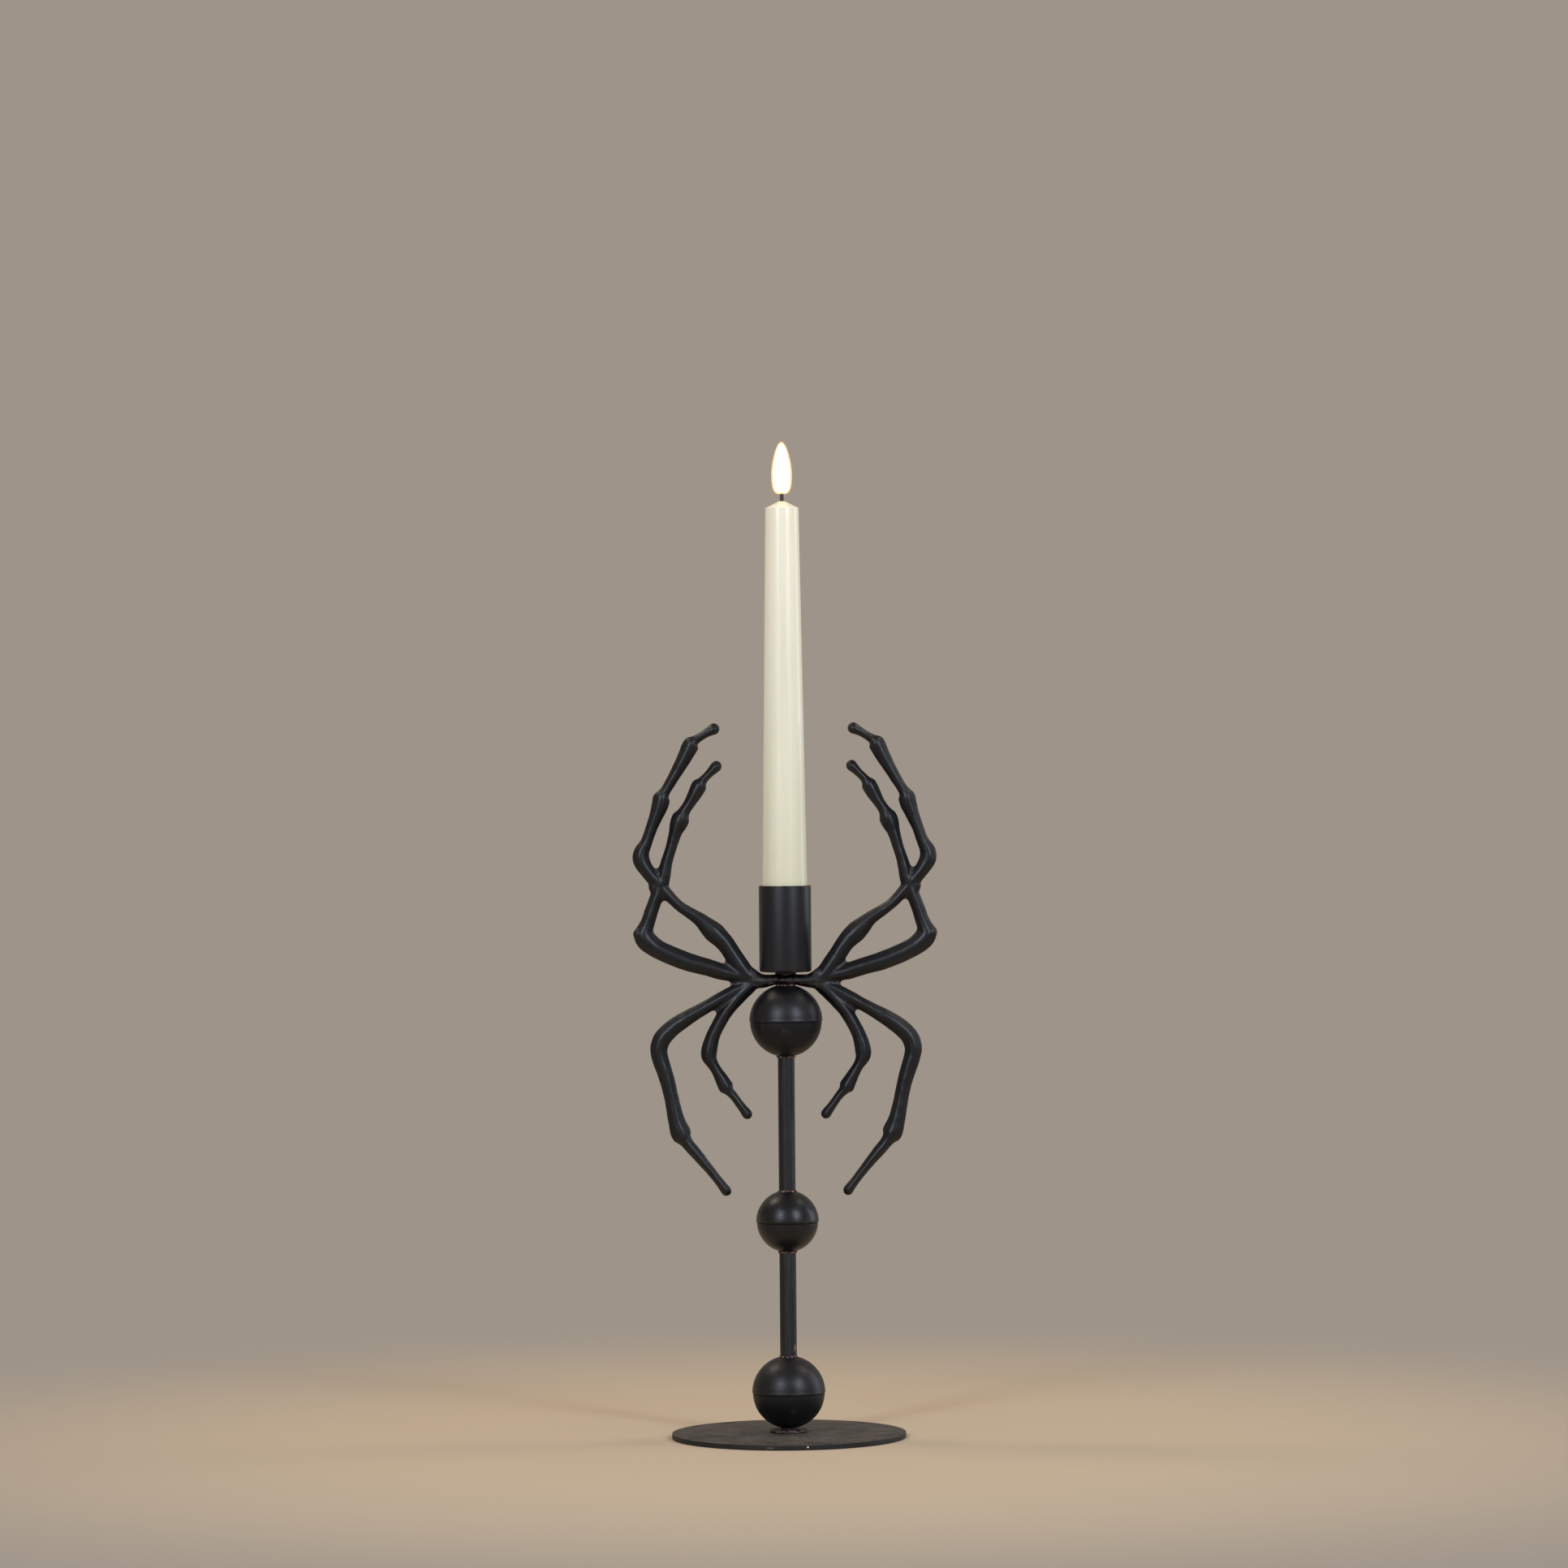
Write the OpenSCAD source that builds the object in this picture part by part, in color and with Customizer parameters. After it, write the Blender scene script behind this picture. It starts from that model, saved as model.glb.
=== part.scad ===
// Spider-shaped iron holder for one taper, with the lamp taper that stands in its cup.
// Millimetres. +Z is up, the legs spread along X, and the origin is the middle of the base's underside.

/* [Base] */
// Diameter of the round base plate
plate_d = 112; // [90:1:150]
// Thickness of the base plate
plate_t = 2.5; // [2.4:0.1:5]
// Width of the broken edge round the plate's two rims
plate_edge = 0.4; // [0.2:0.1:0.8]
// Diameter of the washer between the plate and the lower ball
washer_d = 18.4; // [14:0.2:26]
// Thickness of that washer
washer_t = 1.6; // [1.2:0.1:3]
// Width of the rounding on the washer's rim
washer_edge = 0.5; // [0.2:0.1:0.5]

/* [Stem] */
// Diameter of the rod
rod_d = 8; // [7.5:0.1:10]
// Diameter of the lower and the upper ball
big_ball_d = 35; // [28:0.5:42]
// Diameter of the middle ball
small_ball_d = 30; // [24:0.5:38]
// Wall of the pressed half balls
ball_wall = 1.5; // [1:0.1:2.5]
// Depth of the groove where two half balls meet
seam_depth = 0.25; // [0.1:0.05:0.5]
// Bare rod between the lower and the middle ball
lower_span = 49.2; // [30:0.2:80]
// Bare rod between the middle and the upper ball
upper_span = 63.5; // [40:0.5:100]
// How far a weld ring stands out from the rod
bead_w = 0.8; // [0.6:0.1:1.8]
// How far a weld ring climbs along the rod
bead_h = 0.7; // [0.3:0.1:1.5]

/* [Spider casting] */
// Height of the bridge between the upper ball and the spacer
bridge_t = 5; // [4:0.1:7]
// Depth of the bridge from front to back
bridge_depth = 8.6; // [7:0.2:12]
// How far the bridge reaches to each side
bridge_reach = 17; // [15:0.5:19]
// Diameter of the round boss in the middle of the bridge
boss_d = 12; // [9:0.5:16]
// How far the middle of the widest leg lies from the stem's axis
leg_reach = 69; // [62:0.5:80]
// Height of the upper leg tips above the middle of the bridge
leg_rise = 120; // [105:1:145]
// Depth of the lower leg tips below the middle of the bridge
leg_drop = 101; // [88:1:115]
// Nominal width of a leg, seen from the front
leg_w = 8; // [6.5:0.1:9]
// Nominal thickness of a leg, from front to back
leg_depth = 7; // [5:0.1:8]

/* [Cup and screws] */
// Thickness of the spacer under the cup
spacer_t = 1; // [0.8:0.1:4]
// Diameter of the spacer under the cup
spacer_d = 10.3; // [8:0.1:14]
// Inner diameter of the cup, for a taper of 22 mm
cup_bore_d = 22.6; // [22.5:0.1:24]
// Height of the cup
cup_h = 41.3; // [30:0.1:60]
// Wall of the drawn cup
cup_wall = 1.2; // [0.8:0.1:1.6]
// Rounding of the cup's lower edge
cup_edge = 1.3; // [0.4:0.1:2]
// Width of the broken edge on the cup's rim
cup_rim = 0.2; // [0.1:0.1:0.3]
// Diameter of both screws
screw_d = 5; // [4:0.1:5]
// Diameter of the clearance holes for the screws
screw_hole_d = 5.5; // [5.2:0.1:6]
// Diameter of the countersunk head under the base
sunk_head_d = 9.3; // [8:0.1:9.6]
// Length of the countersunk screw
base_screw_l = 16; // [12:1:25]
// Diameter of the button head in the cup
button_head_d = 9.5; // [8:0.1:11]
// Height of the button head in the cup
button_head_h = 2.7; // [1.5:0.1:3]
// Length of the button screw below its head
cup_screw_l = 20; // [16:1:30]
// Width across the flats of both hexagon sockets
socket_w = 3; // [2:0.1:3.5]
// Depth of both hexagon sockets
socket_h = 1.3; // [0.8:0.1:1.8]

/* [Candle outside] */
// Diameter of the candle's straight foot
candle_d = 22; // [20:0.1:22]
// Height of the straight foot
foot_h = 20; // [14:0.5:40]
// Diameter of the candle at its shoulder
shoulder_d = 16; // [14.5:0.1:18]
// Height of the shoulder above the candle's foot
shoulder_h = 220.8; // [190:0.2:260]
// Height of the shallow cone above the shoulder
crown_h = 3.2; // [1.5:0.1:8]
// Diameter of the flat at the cone's tip
crown_flat_d = 3; // [2.6:0.1:5]
// Thickness of the wax on the tube
wax_t = 1; // [0.6:0.1:1.2]
// Diameter of the stem that carries the flame
wick_d = 1.8; // [1.6:0.1:2.4]
// Bare stem between the cone and the flame
wick_show = 3.4; // [2:0.1:8]
// Height of the moulded flame
flame_h = 25.1; // [20:0.1:35]
// Diameter of the moulded flame
flame_d = 11; // [9:0.1:14]
// Wall of the moulded flame
flame_wall = 0.8; // [0.5:0.1:1]

/* [Candle inside] */
// Wall of the moulded tube
tube_wall = 1; // [0.9:0.1:1.1]
// Thickness of the tube's closed top
tube_top_t = 2.4; // [1.5:0.1:5]
// Width of the ledge that the board is pressed against
ledge_w = 1; // [0.6:0.1:1.5]
// Diameter of a battery
battery_d = 14.2; // [12:0.1:14.4]
// Length of a battery without its nub
battery_l = 49.3; // [40:0.1:50]
// Diameter of the battery's nub
nub_d = 5.5; // [4:0.1:7]
// Height of the battery's nub
nub_h = 1.2; // [0.8:0.1:2]
// Thickness of the circuit board
board_t = 1.2; // [0.8:0.1:2]
// Side of the square timer chip
chip_w = 3.6; // [2.5:0.1:4]
// Height of the timer chip
chip_t = 1.2; // [0.8:0.1:2]
// Distance from the axis to the chip's near side
chip_y = 1.2; // [1:0.1:1.6]
// Diameter of the contact plate under the board
contact_d = 7; // [5:0.1:9]
// Thickness of the contact plate
contact_t = 0.3; // [0.2:0.05:0.5]
// Width of the return strip along the batteries
strip_w = 2.8; // [2:0.1:3.2]
// Thickness of the return strip
strip_t = 0.35; // [0.2:0.05:0.4]
// Depth of the groove that holds the return strip
groove_h = 0.5; // [0.45:0.05:0.55]
// Diameter of the lamp in the flame
led_d = 3; // [2:0.1:4]
// Height of the lamp's straight part
led_h = 3; // [2:0.1:5]
// Diameter of each wire to the lamp
lead_d = 0.4; // [0.3:0.05:0.45]
// Wall of the stem round the wires
wick_wall = 0.25; // [0.15:0.05:0.3]

/* [Battery cap and switch] */
// Height of the cap's visible flange
flange_h = 6.6; // [6:0.1:10]
// Diameter of the hollow in the cap's foot
hollow_d = 16; // [13:0.1:18]
// Depth of that hollow
hollow_h = 5.2; // [4.8:0.1:5.4]
// Height of the collar that enters the tube
collar_h = 8; // [7.5:0.1:14]
// Wall of the collar
collar_wall = 1.2; // [0.8:0.1:1.3]
// Height of a bayonet lug
lug_h = 1.6; // [1:0.1:2]
// How far a lug stands out from the collar
lug_w = 0.65; // [0.4:0.05:0.65]
// Angle that a lug takes up
lug_angle = 16; // [10:1:24]
// Turn between locked and open
lock_angle = 45; // [30:1:60]
// Height of the battery spring between cap and battery
spring_h = 6; // [5:0.1:9]
// Diameter of the spring's coil at the middle of its wire
spring_d = 9.6; // [9.2:0.1:12]
// Diameter of the spring's wire
spring_wire = 0.7; // [0.4:0.05:0.9]
// Number of turns in the spring
spring_turns = 4; // [3:1:5]
// Length of the switch housing
switch_l = 6.4; // [6:0.1:6.6]
// Width of the switch housing
switch_w = 3.8; // [3.6:0.1:4.2]
// Height of the switch housing
switch_h = 3.4; // [2.4:0.1:4]
// Travel of the switch knob
switch_travel = 2.5; // [1.5:0.1:2.6]
// Length of the knob's neck
neck_l = 2; // [1.5:0.1:2.2]
// Width of the knob's neck
neck_w = 2.4; // [1.5:0.1:2.6]
// How far the neck reaches into the housing
neck_in = 1.2; // [0.8:0.1:1.6]
// How far the knob's grip stands out round its neck
grip_w = 0.6; // [0.4:0.1:1.2]
// Thickness of the knob's grip
grip_t = 1.2; // [0.8:0.1:1.3]

/* [Hidden] */

$fn = 96;

// Gap round what is fixed in a hole, and between faces that only nearly meet
slip = 0.05;
// Gap round the cap's collar, which turns in the tube
turning_gap = 0.1;
// Gap between pieces that move past each other
moving_gap = 0.3;
// Overrun of a cut past the face that it leaves
over = 1;
// How far the countersunk head lies inside the plate
head_sink = 0.1;
// Spare depth of a tapped hole past its screw's end
tap_spare = 2;
// Broken edge on a screw's end and on small turned pieces
small_edge = 0.4;
// Outline of the button head above its rim: shares of its radius
button_head_shares = [0.85, 0.55];
// Free angle at each end of a bayonet slot
slot_spare_angle = 1;
// Straight steps in one turn of the spring
spring_steps = 12;

// Heights up the stem
washer_z = plate_t;
rod_z = washer_z + washer_t;
lower_ball_z = rod_z + big_ball_d / 2;
middle_ball_z = lower_ball_z + big_ball_d / 2 + lower_span + small_ball_d / 2;
upper_ball_z = middle_ball_z + small_ball_d / 2 + upper_span + big_ball_d / 2;
bridge_z = upper_ball_z + big_ball_d / 2;
rod_l = bridge_z - rod_z;
// Level that the legs' heights are measured from: the share of bridge_t above the bridge's foot
hub_share = 0.44;
hub_z = bridge_z + hub_share * bridge_t;
spacer_z = bridge_z + bridge_t;
cup_z = spacer_z + spacer_t;
floor_z = cup_z + cup_wall;
cup_d = cup_bore_d + 2 * cup_wall;
base_tap_h = base_screw_l + head_sink - rod_z + tap_spare;
top_tap_h = cup_screw_l - (floor_z - bridge_z) + tap_spare;

// Shape of a leg: the share of its nominal thickness that the thinnest leg keeps
thin_depth_share = 0.4;
// Sides of a leg, and of the spring's wire
leg_sides = 10;
wire_sides = 6;
// Angles round a leg's ball-shaped tip
tip_angles = [30, 55, 78];
// Where the legs start at the hub's end faces
legs_x = bridge_reach + slip;
// Height where the upper and the lower legs part: the share of leg_w below the hub's middle
crotch_share = 0.2;
crotch_z = hub_z - crotch_share * leg_w;

// Each leg from the bridge to its tip: the shares of leg_reach and of leg_rise or leg_drop, and the share of leg_w.
// A joint is a place where the leg swells and then drops back to a thinner width.
upper_outer_shares = [
    [0.22, 0.000, 0.60], [0.26, 0.018, 0.85], [0.30, 0.046, 1.00], [0.355, 0.093, 1.02], [0.405, 0.138, 1.02],
    [0.445, 0.165, 1.10], [0.495, 0.192, 1.19], [0.54, 0.216, 1.03], [0.60, 0.247, 0.78], [0.72, 0.292, 0.62],
    [0.80, 0.336, 0.66], [0.885, 0.392, 0.80], [0.955, 0.440, 0.86], [0.995, 0.482, 0.98], [0.990, 0.516, 0.90],
    [0.958, 0.552, 0.70], [0.925, 0.604, 0.68], [0.890, 0.655, 0.80], [0.862, 0.698, 0.96], [0.848, 0.731, 0.95],
    [0.822, 0.758, 0.64], [0.794, 0.784, 0.62], [0.741, 0.836, 0.71], [0.690, 0.888, 0.85], [0.657, 0.926, 0.94],
    [0.628, 0.952, 0.86], [0.590, 0.967, 0.62], [0.540, 0.985, 0.60], [0.493, 1.000, 0.66]];
upper_inner_shares = [
    [0.20, -0.002, 0.56], [0.29, 0.010, 0.78], [0.43, 0.032, 0.95], [0.54, 0.052, 0.99], [0.67, 0.073, 1.06],
    [0.79, 0.100, 1.08], [0.89, 0.128, 1.09], [0.957, 0.158, 1.19], [0.981, 0.184, 1.15], [0.969, 0.208, 0.93],
    [0.951, 0.235, 0.82], [0.930, 0.272, 0.79], [0.903, 0.315, 0.77], [0.872, 0.357, 0.79], [0.845, 0.402, 0.81],
    [0.830, 0.445, 0.75], [0.811, 0.487, 0.67], [0.781, 0.541, 0.66], [0.757, 0.590, 0.77], [0.735, 0.623, 1.01],
    [0.713, 0.653, 0.99], [0.683, 0.685, 0.70], [0.656, 0.708, 0.68], [0.625, 0.738, 0.80], [0.600, 0.765, 0.87],
    [0.578, 0.787, 0.79], [0.549, 0.807, 0.60], [0.514, 0.827, 0.57], [0.477, 0.850, 0.63]];
lower_outer_shares = [
    [0.20, 0.004, 0.57], [0.29, 0.026, 0.75], [0.40, 0.070, 0.80], [0.517, 0.113, 0.75], [0.597, 0.143, 0.77],
    [0.681, 0.176, 0.88], [0.757, 0.209, 0.97], [0.820, 0.244, 1.00], [0.864, 0.281, 1.03], [0.883, 0.325, 1.00],
    [0.874, 0.368, 0.96], [0.849, 0.422, 0.92], [0.822, 0.483, 0.87], [0.801, 0.546, 0.84], [0.781, 0.614, 0.89],
    [0.761, 0.671, 1.00], [0.739, 0.715, 1.15], [0.716, 0.747, 0.98], [0.680, 0.780, 0.75], [0.628, 0.822, 0.68],
    [0.564, 0.874, 0.57], [0.490, 0.938, 0.51], [0.449, 0.974, 0.55], [0.423, 0.998, 0.61]];
lower_inner_shares = [
    [0.19, 0.008, 0.57], [0.26, 0.036, 0.82], [0.333, 0.083, 0.85], [0.409, 0.144, 0.79], [0.465, 0.206, 0.78],
    [0.506, 0.263, 0.81], [0.530, 0.319, 0.92], [0.535, 0.360, 0.90], [0.513, 0.394, 0.68], [0.486, 0.424, 0.62],
    [0.455, 0.461, 0.74], [0.423, 0.501, 0.84], [0.397, 0.525, 0.65], [0.365, 0.550, 0.51], [0.322, 0.591, 0.50],
    [0.294, 0.616, 0.55], [0.274, 0.635, 0.61]];
// The +X half of the bridge from the middle to its end, where it spreads into the legs:
// the share of bridge_reach, the shares of bridge_t for its level above hub_z and its height, the share of bridge_depth
bridge_shares = [
    [0, 0.06, 0.98, 1.00], [0.41, -0.03, 1.12, 0.97], [0.59, -0.10, 1.28, 0.90],
    [0.71, -0.09, 1.46, 0.84], [0.85, 0.03, 1.85, 0.75], [1.00, 0.24, 2.30, 0.66]];

// Outline of the flame: shares of flame_h and of its radius
flame_shares = [
    [0, 0.34], [0.05, 0.52], [0.11, 0.70], [0.19, 0.86], [0.29, 0.95], [0.41, 1.00], [0.53, 0.98],
    [0.64, 0.90], [0.74, 0.79], [0.83, 0.66], [0.91, 0.49], [0.97, 0.27], [1.00, 0.03]];
// The part of that outline that the hollow follows: first and last row
flame_hollow_rows = [2, 10];

// Heights and radii of the candle
candle_z = floor_z;
flange_z = candle_z + flange_h;
tube_z = flange_z + moving_gap;
taper_z = candle_z + foot_h;
shoulder_z = candle_z + shoulder_h;
crown_z = shoulder_z + crown_h;
flame_z = crown_z + wick_show;
tube_top_z = shoulder_z - wax_t;
taper_share = (candle_d - shoulder_d) / 2 / (shoulder_z - taper_z);
function wax_r(z) = candle_d / 2 - max(z - taper_z, 0) * taper_share;
function tube_r(z) = wax_r(z) - wax_t - slip;
function chamber_r(z) = tube_r(z) - tube_wall;

battery_z = flange_z + spring_h;
strip_z = flange_z + collar_h + moving_gap;
upper_battery_z = battery_z + battery_l + nub_h;
contact_z = upper_battery_z + battery_l + nub_h;
board_z = contact_z + contact_t;
ledge_z = board_z + board_t;
ceiling_z = tube_top_z - tube_top_t;
lead_x = (wick_d / 2 - wick_wall - slip) / 2;
wick_foot_z = ceiling_z;
flame_floor_t = 2 * flame_wall;
led_z = flame_z + flame_floor_t;

web_t = flange_h - hollow_h;
collar_r = chamber_r(tube_z) - turning_gap;
lug_z = flange_z + collar_h / 2;
slot_l = neck_l + switch_travel + 2 * moving_gap;
slot_w = neck_w + 2 * moving_gap;

// Turned solid from an outline of radii and heights
module turned(outline) {
    rotate_extrude() polygon(outline);
}

// Closed skin over rings of points, each ring with the same number of points
module skin(rings) {
    n = len(rings[0]);
    last = len(rings) - 1;
    walls = [for (i = [0:last - 1], j = [0:n - 1]) each [
        [i * n + j, i * n + (j + 1) % n, (i + 1) * n + (j + 1) % n],
        [i * n + j, (i + 1) * n + (j + 1) % n, (i + 1) * n + j]]];
    foot = [for (j = [n - 1:-1:0]) j];
    head = [for (j = [0:n - 1]) last * n + j];
    polyhedron([for (ring = rings) each ring], concat([foot, head], walls));
}

// Base plate with the countersunk hole for its screw
module base_plate() {
    r = plate_d / 2;
    hole_r = screw_hole_d / 2;
    sunk_r = sunk_head_d / 2 + head_sink + slip;
    color([0.10, 0.095, 0.09]) turned([
        [hole_r, plate_t], [r - plate_edge, plate_t], [r, plate_t - plate_edge], [r, plate_edge],
        [r - plate_edge, 0], [sunk_r, 0], [hole_r, sunk_r - hole_r]]);
}

// Hexagon socket cut from z = 0 upwards
module hex_socket() {
    translate([0, 0, -over]) cylinder(d = socket_w / cos(30), h = socket_h + over, $fn = 6);
}

// Countersunk screw that pulls the plate and the washer against the rod
module base_screw() {
    head_r = sunk_head_d / 2;
    r = screw_d / 2;
    color([0.30, 0.30, 0.31]) translate([0, 0, head_sink]) difference() {
        turned([
            [0, 0], [head_r, 0], [r, head_r - r], [r, base_screw_l - small_edge],
            [r - small_edge, base_screw_l], [0, base_screw_l]]);
        hex_socket();
    }
}

module base_washer() {
    r = washer_d / 2;
    hole_r = screw_hole_d / 2;
    top = washer_z + washer_t;
    color([0.09, 0.08, 0.08]) turned([
        [hole_r, washer_z], [r - washer_edge, washer_z], [r, washer_z + washer_edge],
        [r, top - washer_edge], [r - washer_edge, top], [hole_r, top]]);
}

// Rod with a tapped hole in each end
module stem_rod() {
    tap_r = screw_d / 2 + slip;
    color([0.09, 0.09, 0.095]) translate([0, 0, rod_z]) difference() {
        cylinder(d = rod_d, h = rod_l);
        translate([0, 0, -over]) cylinder(r = tap_r, h = base_tap_h + over);
        translate([0, 0, rod_l - top_tap_h]) cylinder(r = tap_r, h = top_tap_h + over);
    }
}

// Upper half of a hollow ball, with its rod hole and half of the seam groove
module half_ball(d) {
    r = d / 2;
    difference() {
        sphere(r = r);
        sphere(r = r - ball_wall);
        translate([0, 0, -d]) cylinder(r = d, h = d);
        cylinder(r = rod_d / 2 + slip, h = d);
        turned([[r - seam_depth, 0], [r + seam_depth, 0], [r + seam_depth, 2 * seam_depth]]);
    }
}

module ball_top_half(d, z) {
    color([0.08, 0.08, 0.085]) translate([0, 0, z]) half_ball(d);
}

module ball_base_half(d, z) {
    color([0.08, 0.08, 0.085]) translate([0, 0, z]) mirror([0, 0, 1]) half_ball(d);
}

module lower_ball_base_half() ball_base_half(big_ball_d, lower_ball_z);
module lower_ball_top_half() ball_top_half(big_ball_d, lower_ball_z);
module middle_ball_base_half() ball_base_half(small_ball_d, middle_ball_z);
module middle_ball_top_half() ball_top_half(small_ball_d, middle_ball_z);
module upper_ball_base_half() ball_base_half(big_ball_d, upper_ball_z);
module upper_ball_top_half() ball_top_half(big_ball_d, upper_ball_z);

// Weld ring in the corner between the rod and the top of a ball of diameter d
module weld_ring(d) {
    r = rod_d / 2 + slip;
    rim_r = r + bead_w;
    foot = sqrt(d * d / 4 - r * r) + slip;
    rim_foot = sqrt(d * d / 4 - rim_r * rim_r) + slip;
    turned([[r, foot], [rim_r, rim_foot], [r + bead_w / 3, foot + bead_h], [r, foot + bead_h]]);
}

module weld_rings() {
    color([0.20, 0.12, 0.08]) {
        translate([0, 0, lower_ball_z]) weld_ring(big_ball_d);
        translate([0, 0, middle_ball_z]) mirror([0, 0, 1]) weld_ring(small_ball_d);
        translate([0, 0, middle_ball_z]) weld_ring(small_ball_d);
        translate([0, 0, upper_ball_z]) mirror([0, 0, 1]) weld_ring(big_ball_d);
    }
}

// Ring of a leg: an ellipse of width w and depth d, square to the direction u in the XZ plane
function leg_ring(x, z, u, w, d) = [
    for (i = [0:leg_sides - 1])
    let (a = 360 * i / leg_sides)
    [x - u[1] * w / 2 * cos(a), d / 2 * sin(a), z + u[0] * w / 2 * cos(a)]];
function unit(v) = v / norm(v);
function depth_of(width_share) = leg_depth * (thin_depth_share + (1 - thin_depth_share) * width_share);
function thickest(shares) = depth_of(max([for (s = shares) s[2]]));

// Leg on the +X side through its places, with a ball-shaped tip; rise is negative for a leg that hangs down
module leg(shares, rise) {
    last = len(shares) - 1;
    places = [for (s = shares) [s[0] * leg_reach, hub_z + s[1] * rise]];
    widths = [for (s = shares) s[2] * leg_w];
    depths = [for (s = shares) depth_of(s[2])];
    directions = [for (i = [0:last]) unit(places[min(i + 1, last)] - places[max(i - 1, 0)])];
    body = [for (i = [0:last]) leg_ring(places[i][0], places[i][1], directions[i], widths[i], depths[i])];
    u = directions[last];
    tip = [
        for (a = tip_angles)
        let (p = places[last] + u * widths[last] / 2 * sin(a))
        leg_ring(p[0], p[1], u, widths[last] * cos(a), depths[last] * cos(a))];
    skin(concat(body, tip));
}

// The +X half of the swept bridge that joins the left and the right legs
module half_bridge() {
    skin([
        for (s = bridge_shares)
        leg_ring(s[0] * bridge_reach, hub_z + s[1] * bridge_t, [1, 0], s[2] * bridge_t, s[3] * bridge_depth)]);
}

module right_legs() {
    leg(upper_outer_shares, leg_rise);
    leg(upper_inner_shares, leg_rise);
    leg(lower_outer_shares, -leg_drop);
    leg(lower_inner_shares, -leg_drop);
}

// Space of the hub, from whose end faces the legs start
module hub_space() {
    translate([-legs_x, -bridge_depth, hub_z - leg_w]) cube([2 * legs_x, 2 * bridge_depth, 2 * leg_w]);
}

// Space of the upper legs on the +X side
module upper_space() {
    translate([0, -bridge_depth, crotch_z]) cube([leg_reach + leg_w, 2 * bridge_depth, leg_rise + leg_w]);
}

// The bridge with its boss and the roots of all eight legs.
// In this module and the next two, the resize brings a many-sided shape to its full depth.
module spider_hub() {
    color([0.07, 0.07, 0.075]) difference() {
        union() {
            resize([0, bridge_depth, 0]) intersection() {
                for (side = [0, 1]) mirror([side, 0, 0]) {
                    half_bridge();
                    right_legs();
                }
                hub_space();
            }
            translate([0, 0, bridge_z]) cylinder(d = boss_d, h = bridge_t);
        }
        translate([0, 0, bridge_z - over]) cylinder(d = screw_hole_d, h = bridge_t + 2 * over);
    }
}

module right_upper_legs() {
    depth = thickest(concat(upper_outer_shares, upper_inner_shares));
    color([0.08, 0.08, 0.085]) resize([0, depth, 0]) difference() {
        intersection() {
            right_legs();
            upper_space();
        }
        hub_space();
    }
}

module right_lower_legs() {
    depth = thickest(concat(lower_outer_shares, lower_inner_shares));
    color([0.08, 0.08, 0.085]) resize([0, depth, 0]) difference() {
        right_legs();
        upper_space();
        hub_space();
    }
}

module left_upper_legs() {
    mirror([1, 0, 0]) right_upper_legs();
}

module left_lower_legs() {
    mirror([1, 0, 0]) right_lower_legs();
}

module cup_spacer() {
    color([0.10, 0.10, 0.10]) translate([0, 0, spacer_z]) difference() {
        cylinder(d = spacer_d, h = spacer_t);
        translate([0, 0, -over]) cylinder(d = screw_hole_d, h = spacer_t + 2 * over);
    }
}

// Drawn cup: flat floor with the screw hole, rounded lower edge, straight wall
module candle_cup() {
    r = cup_d / 2;
    color([0.085, 0.085, 0.09]) translate([0, 0, cup_z]) difference() {
        rotate_extrude() union() {
            translate([r - cup_edge, cup_edge]) circle(r = cup_edge);
            square([r - cup_edge, cup_edge]);
            polygon([
                [0, cup_edge], [r, cup_edge], [r, cup_h - cup_rim], [r - cup_rim, cup_h], [0, cup_h]]);
        }
        translate([0, 0, cup_wall]) cylinder(d = cup_bore_d, h = cup_h);
        translate([0, 0, -over]) cylinder(d = screw_hole_d, h = cup_wall + 2 * over);
    }
}

// Button-head screw that holds cup, spacer and casting on the rod
module cup_screw() {
    head_r = button_head_d / 2;
    r = screw_d / 2;
    rim = button_head_h / 3;
    color([0.30, 0.30, 0.31]) translate([0, 0, floor_z]) difference() {
        turned([
            [0, -cup_screw_l], [r - small_edge, -cup_screw_l], [r, small_edge - cup_screw_l], [r, 0],
            [head_r, 0], [head_r, rim], [head_r * button_head_shares[0], 2 * rim],
            [head_r * button_head_shares[1], button_head_h], [0, button_head_h]]);
        translate([0, 0, button_head_h]) mirror([0, 0, 1]) hex_socket();
    }
}

// Wax sleeve: straight foot, long taper, crisp shoulder and shallow cone
module candle_wax() {
    crown_r = crown_flat_d / 2;
    hole_r = wick_d / 2 + slip;
    color([0.93, 0.90, 0.78]) turned([
        [wax_r(tube_z), tube_z], [wax_r(taper_z), taper_z], [wax_r(shoulder_z), shoulder_z],
        [crown_r, crown_z], [hole_r, crown_z], [hole_r, tube_top_z + slip],
        [tube_r(tube_top_z) + slip, tube_top_z + slip], [tube_r(taper_z) + slip, taper_z],
        [tube_r(tube_z) + slip, tube_z]]);
}

// Groove or strip that leans with the chamber's wall, from above the cap's collar to the board
module wall_bar(depth, thickness, width) {
    lean = atan(taper_share);
    foot_r = chamber_r(taper_z) + (taper_z - strip_z) * taper_share;
    translate([-foot_r, 0, strip_z])
        rotate([0, lean, 0])
            translate([-depth, -width / 2, 0])
                cube([thickness, width, (board_z - strip_z) / cos(lean)]);
}

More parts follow.
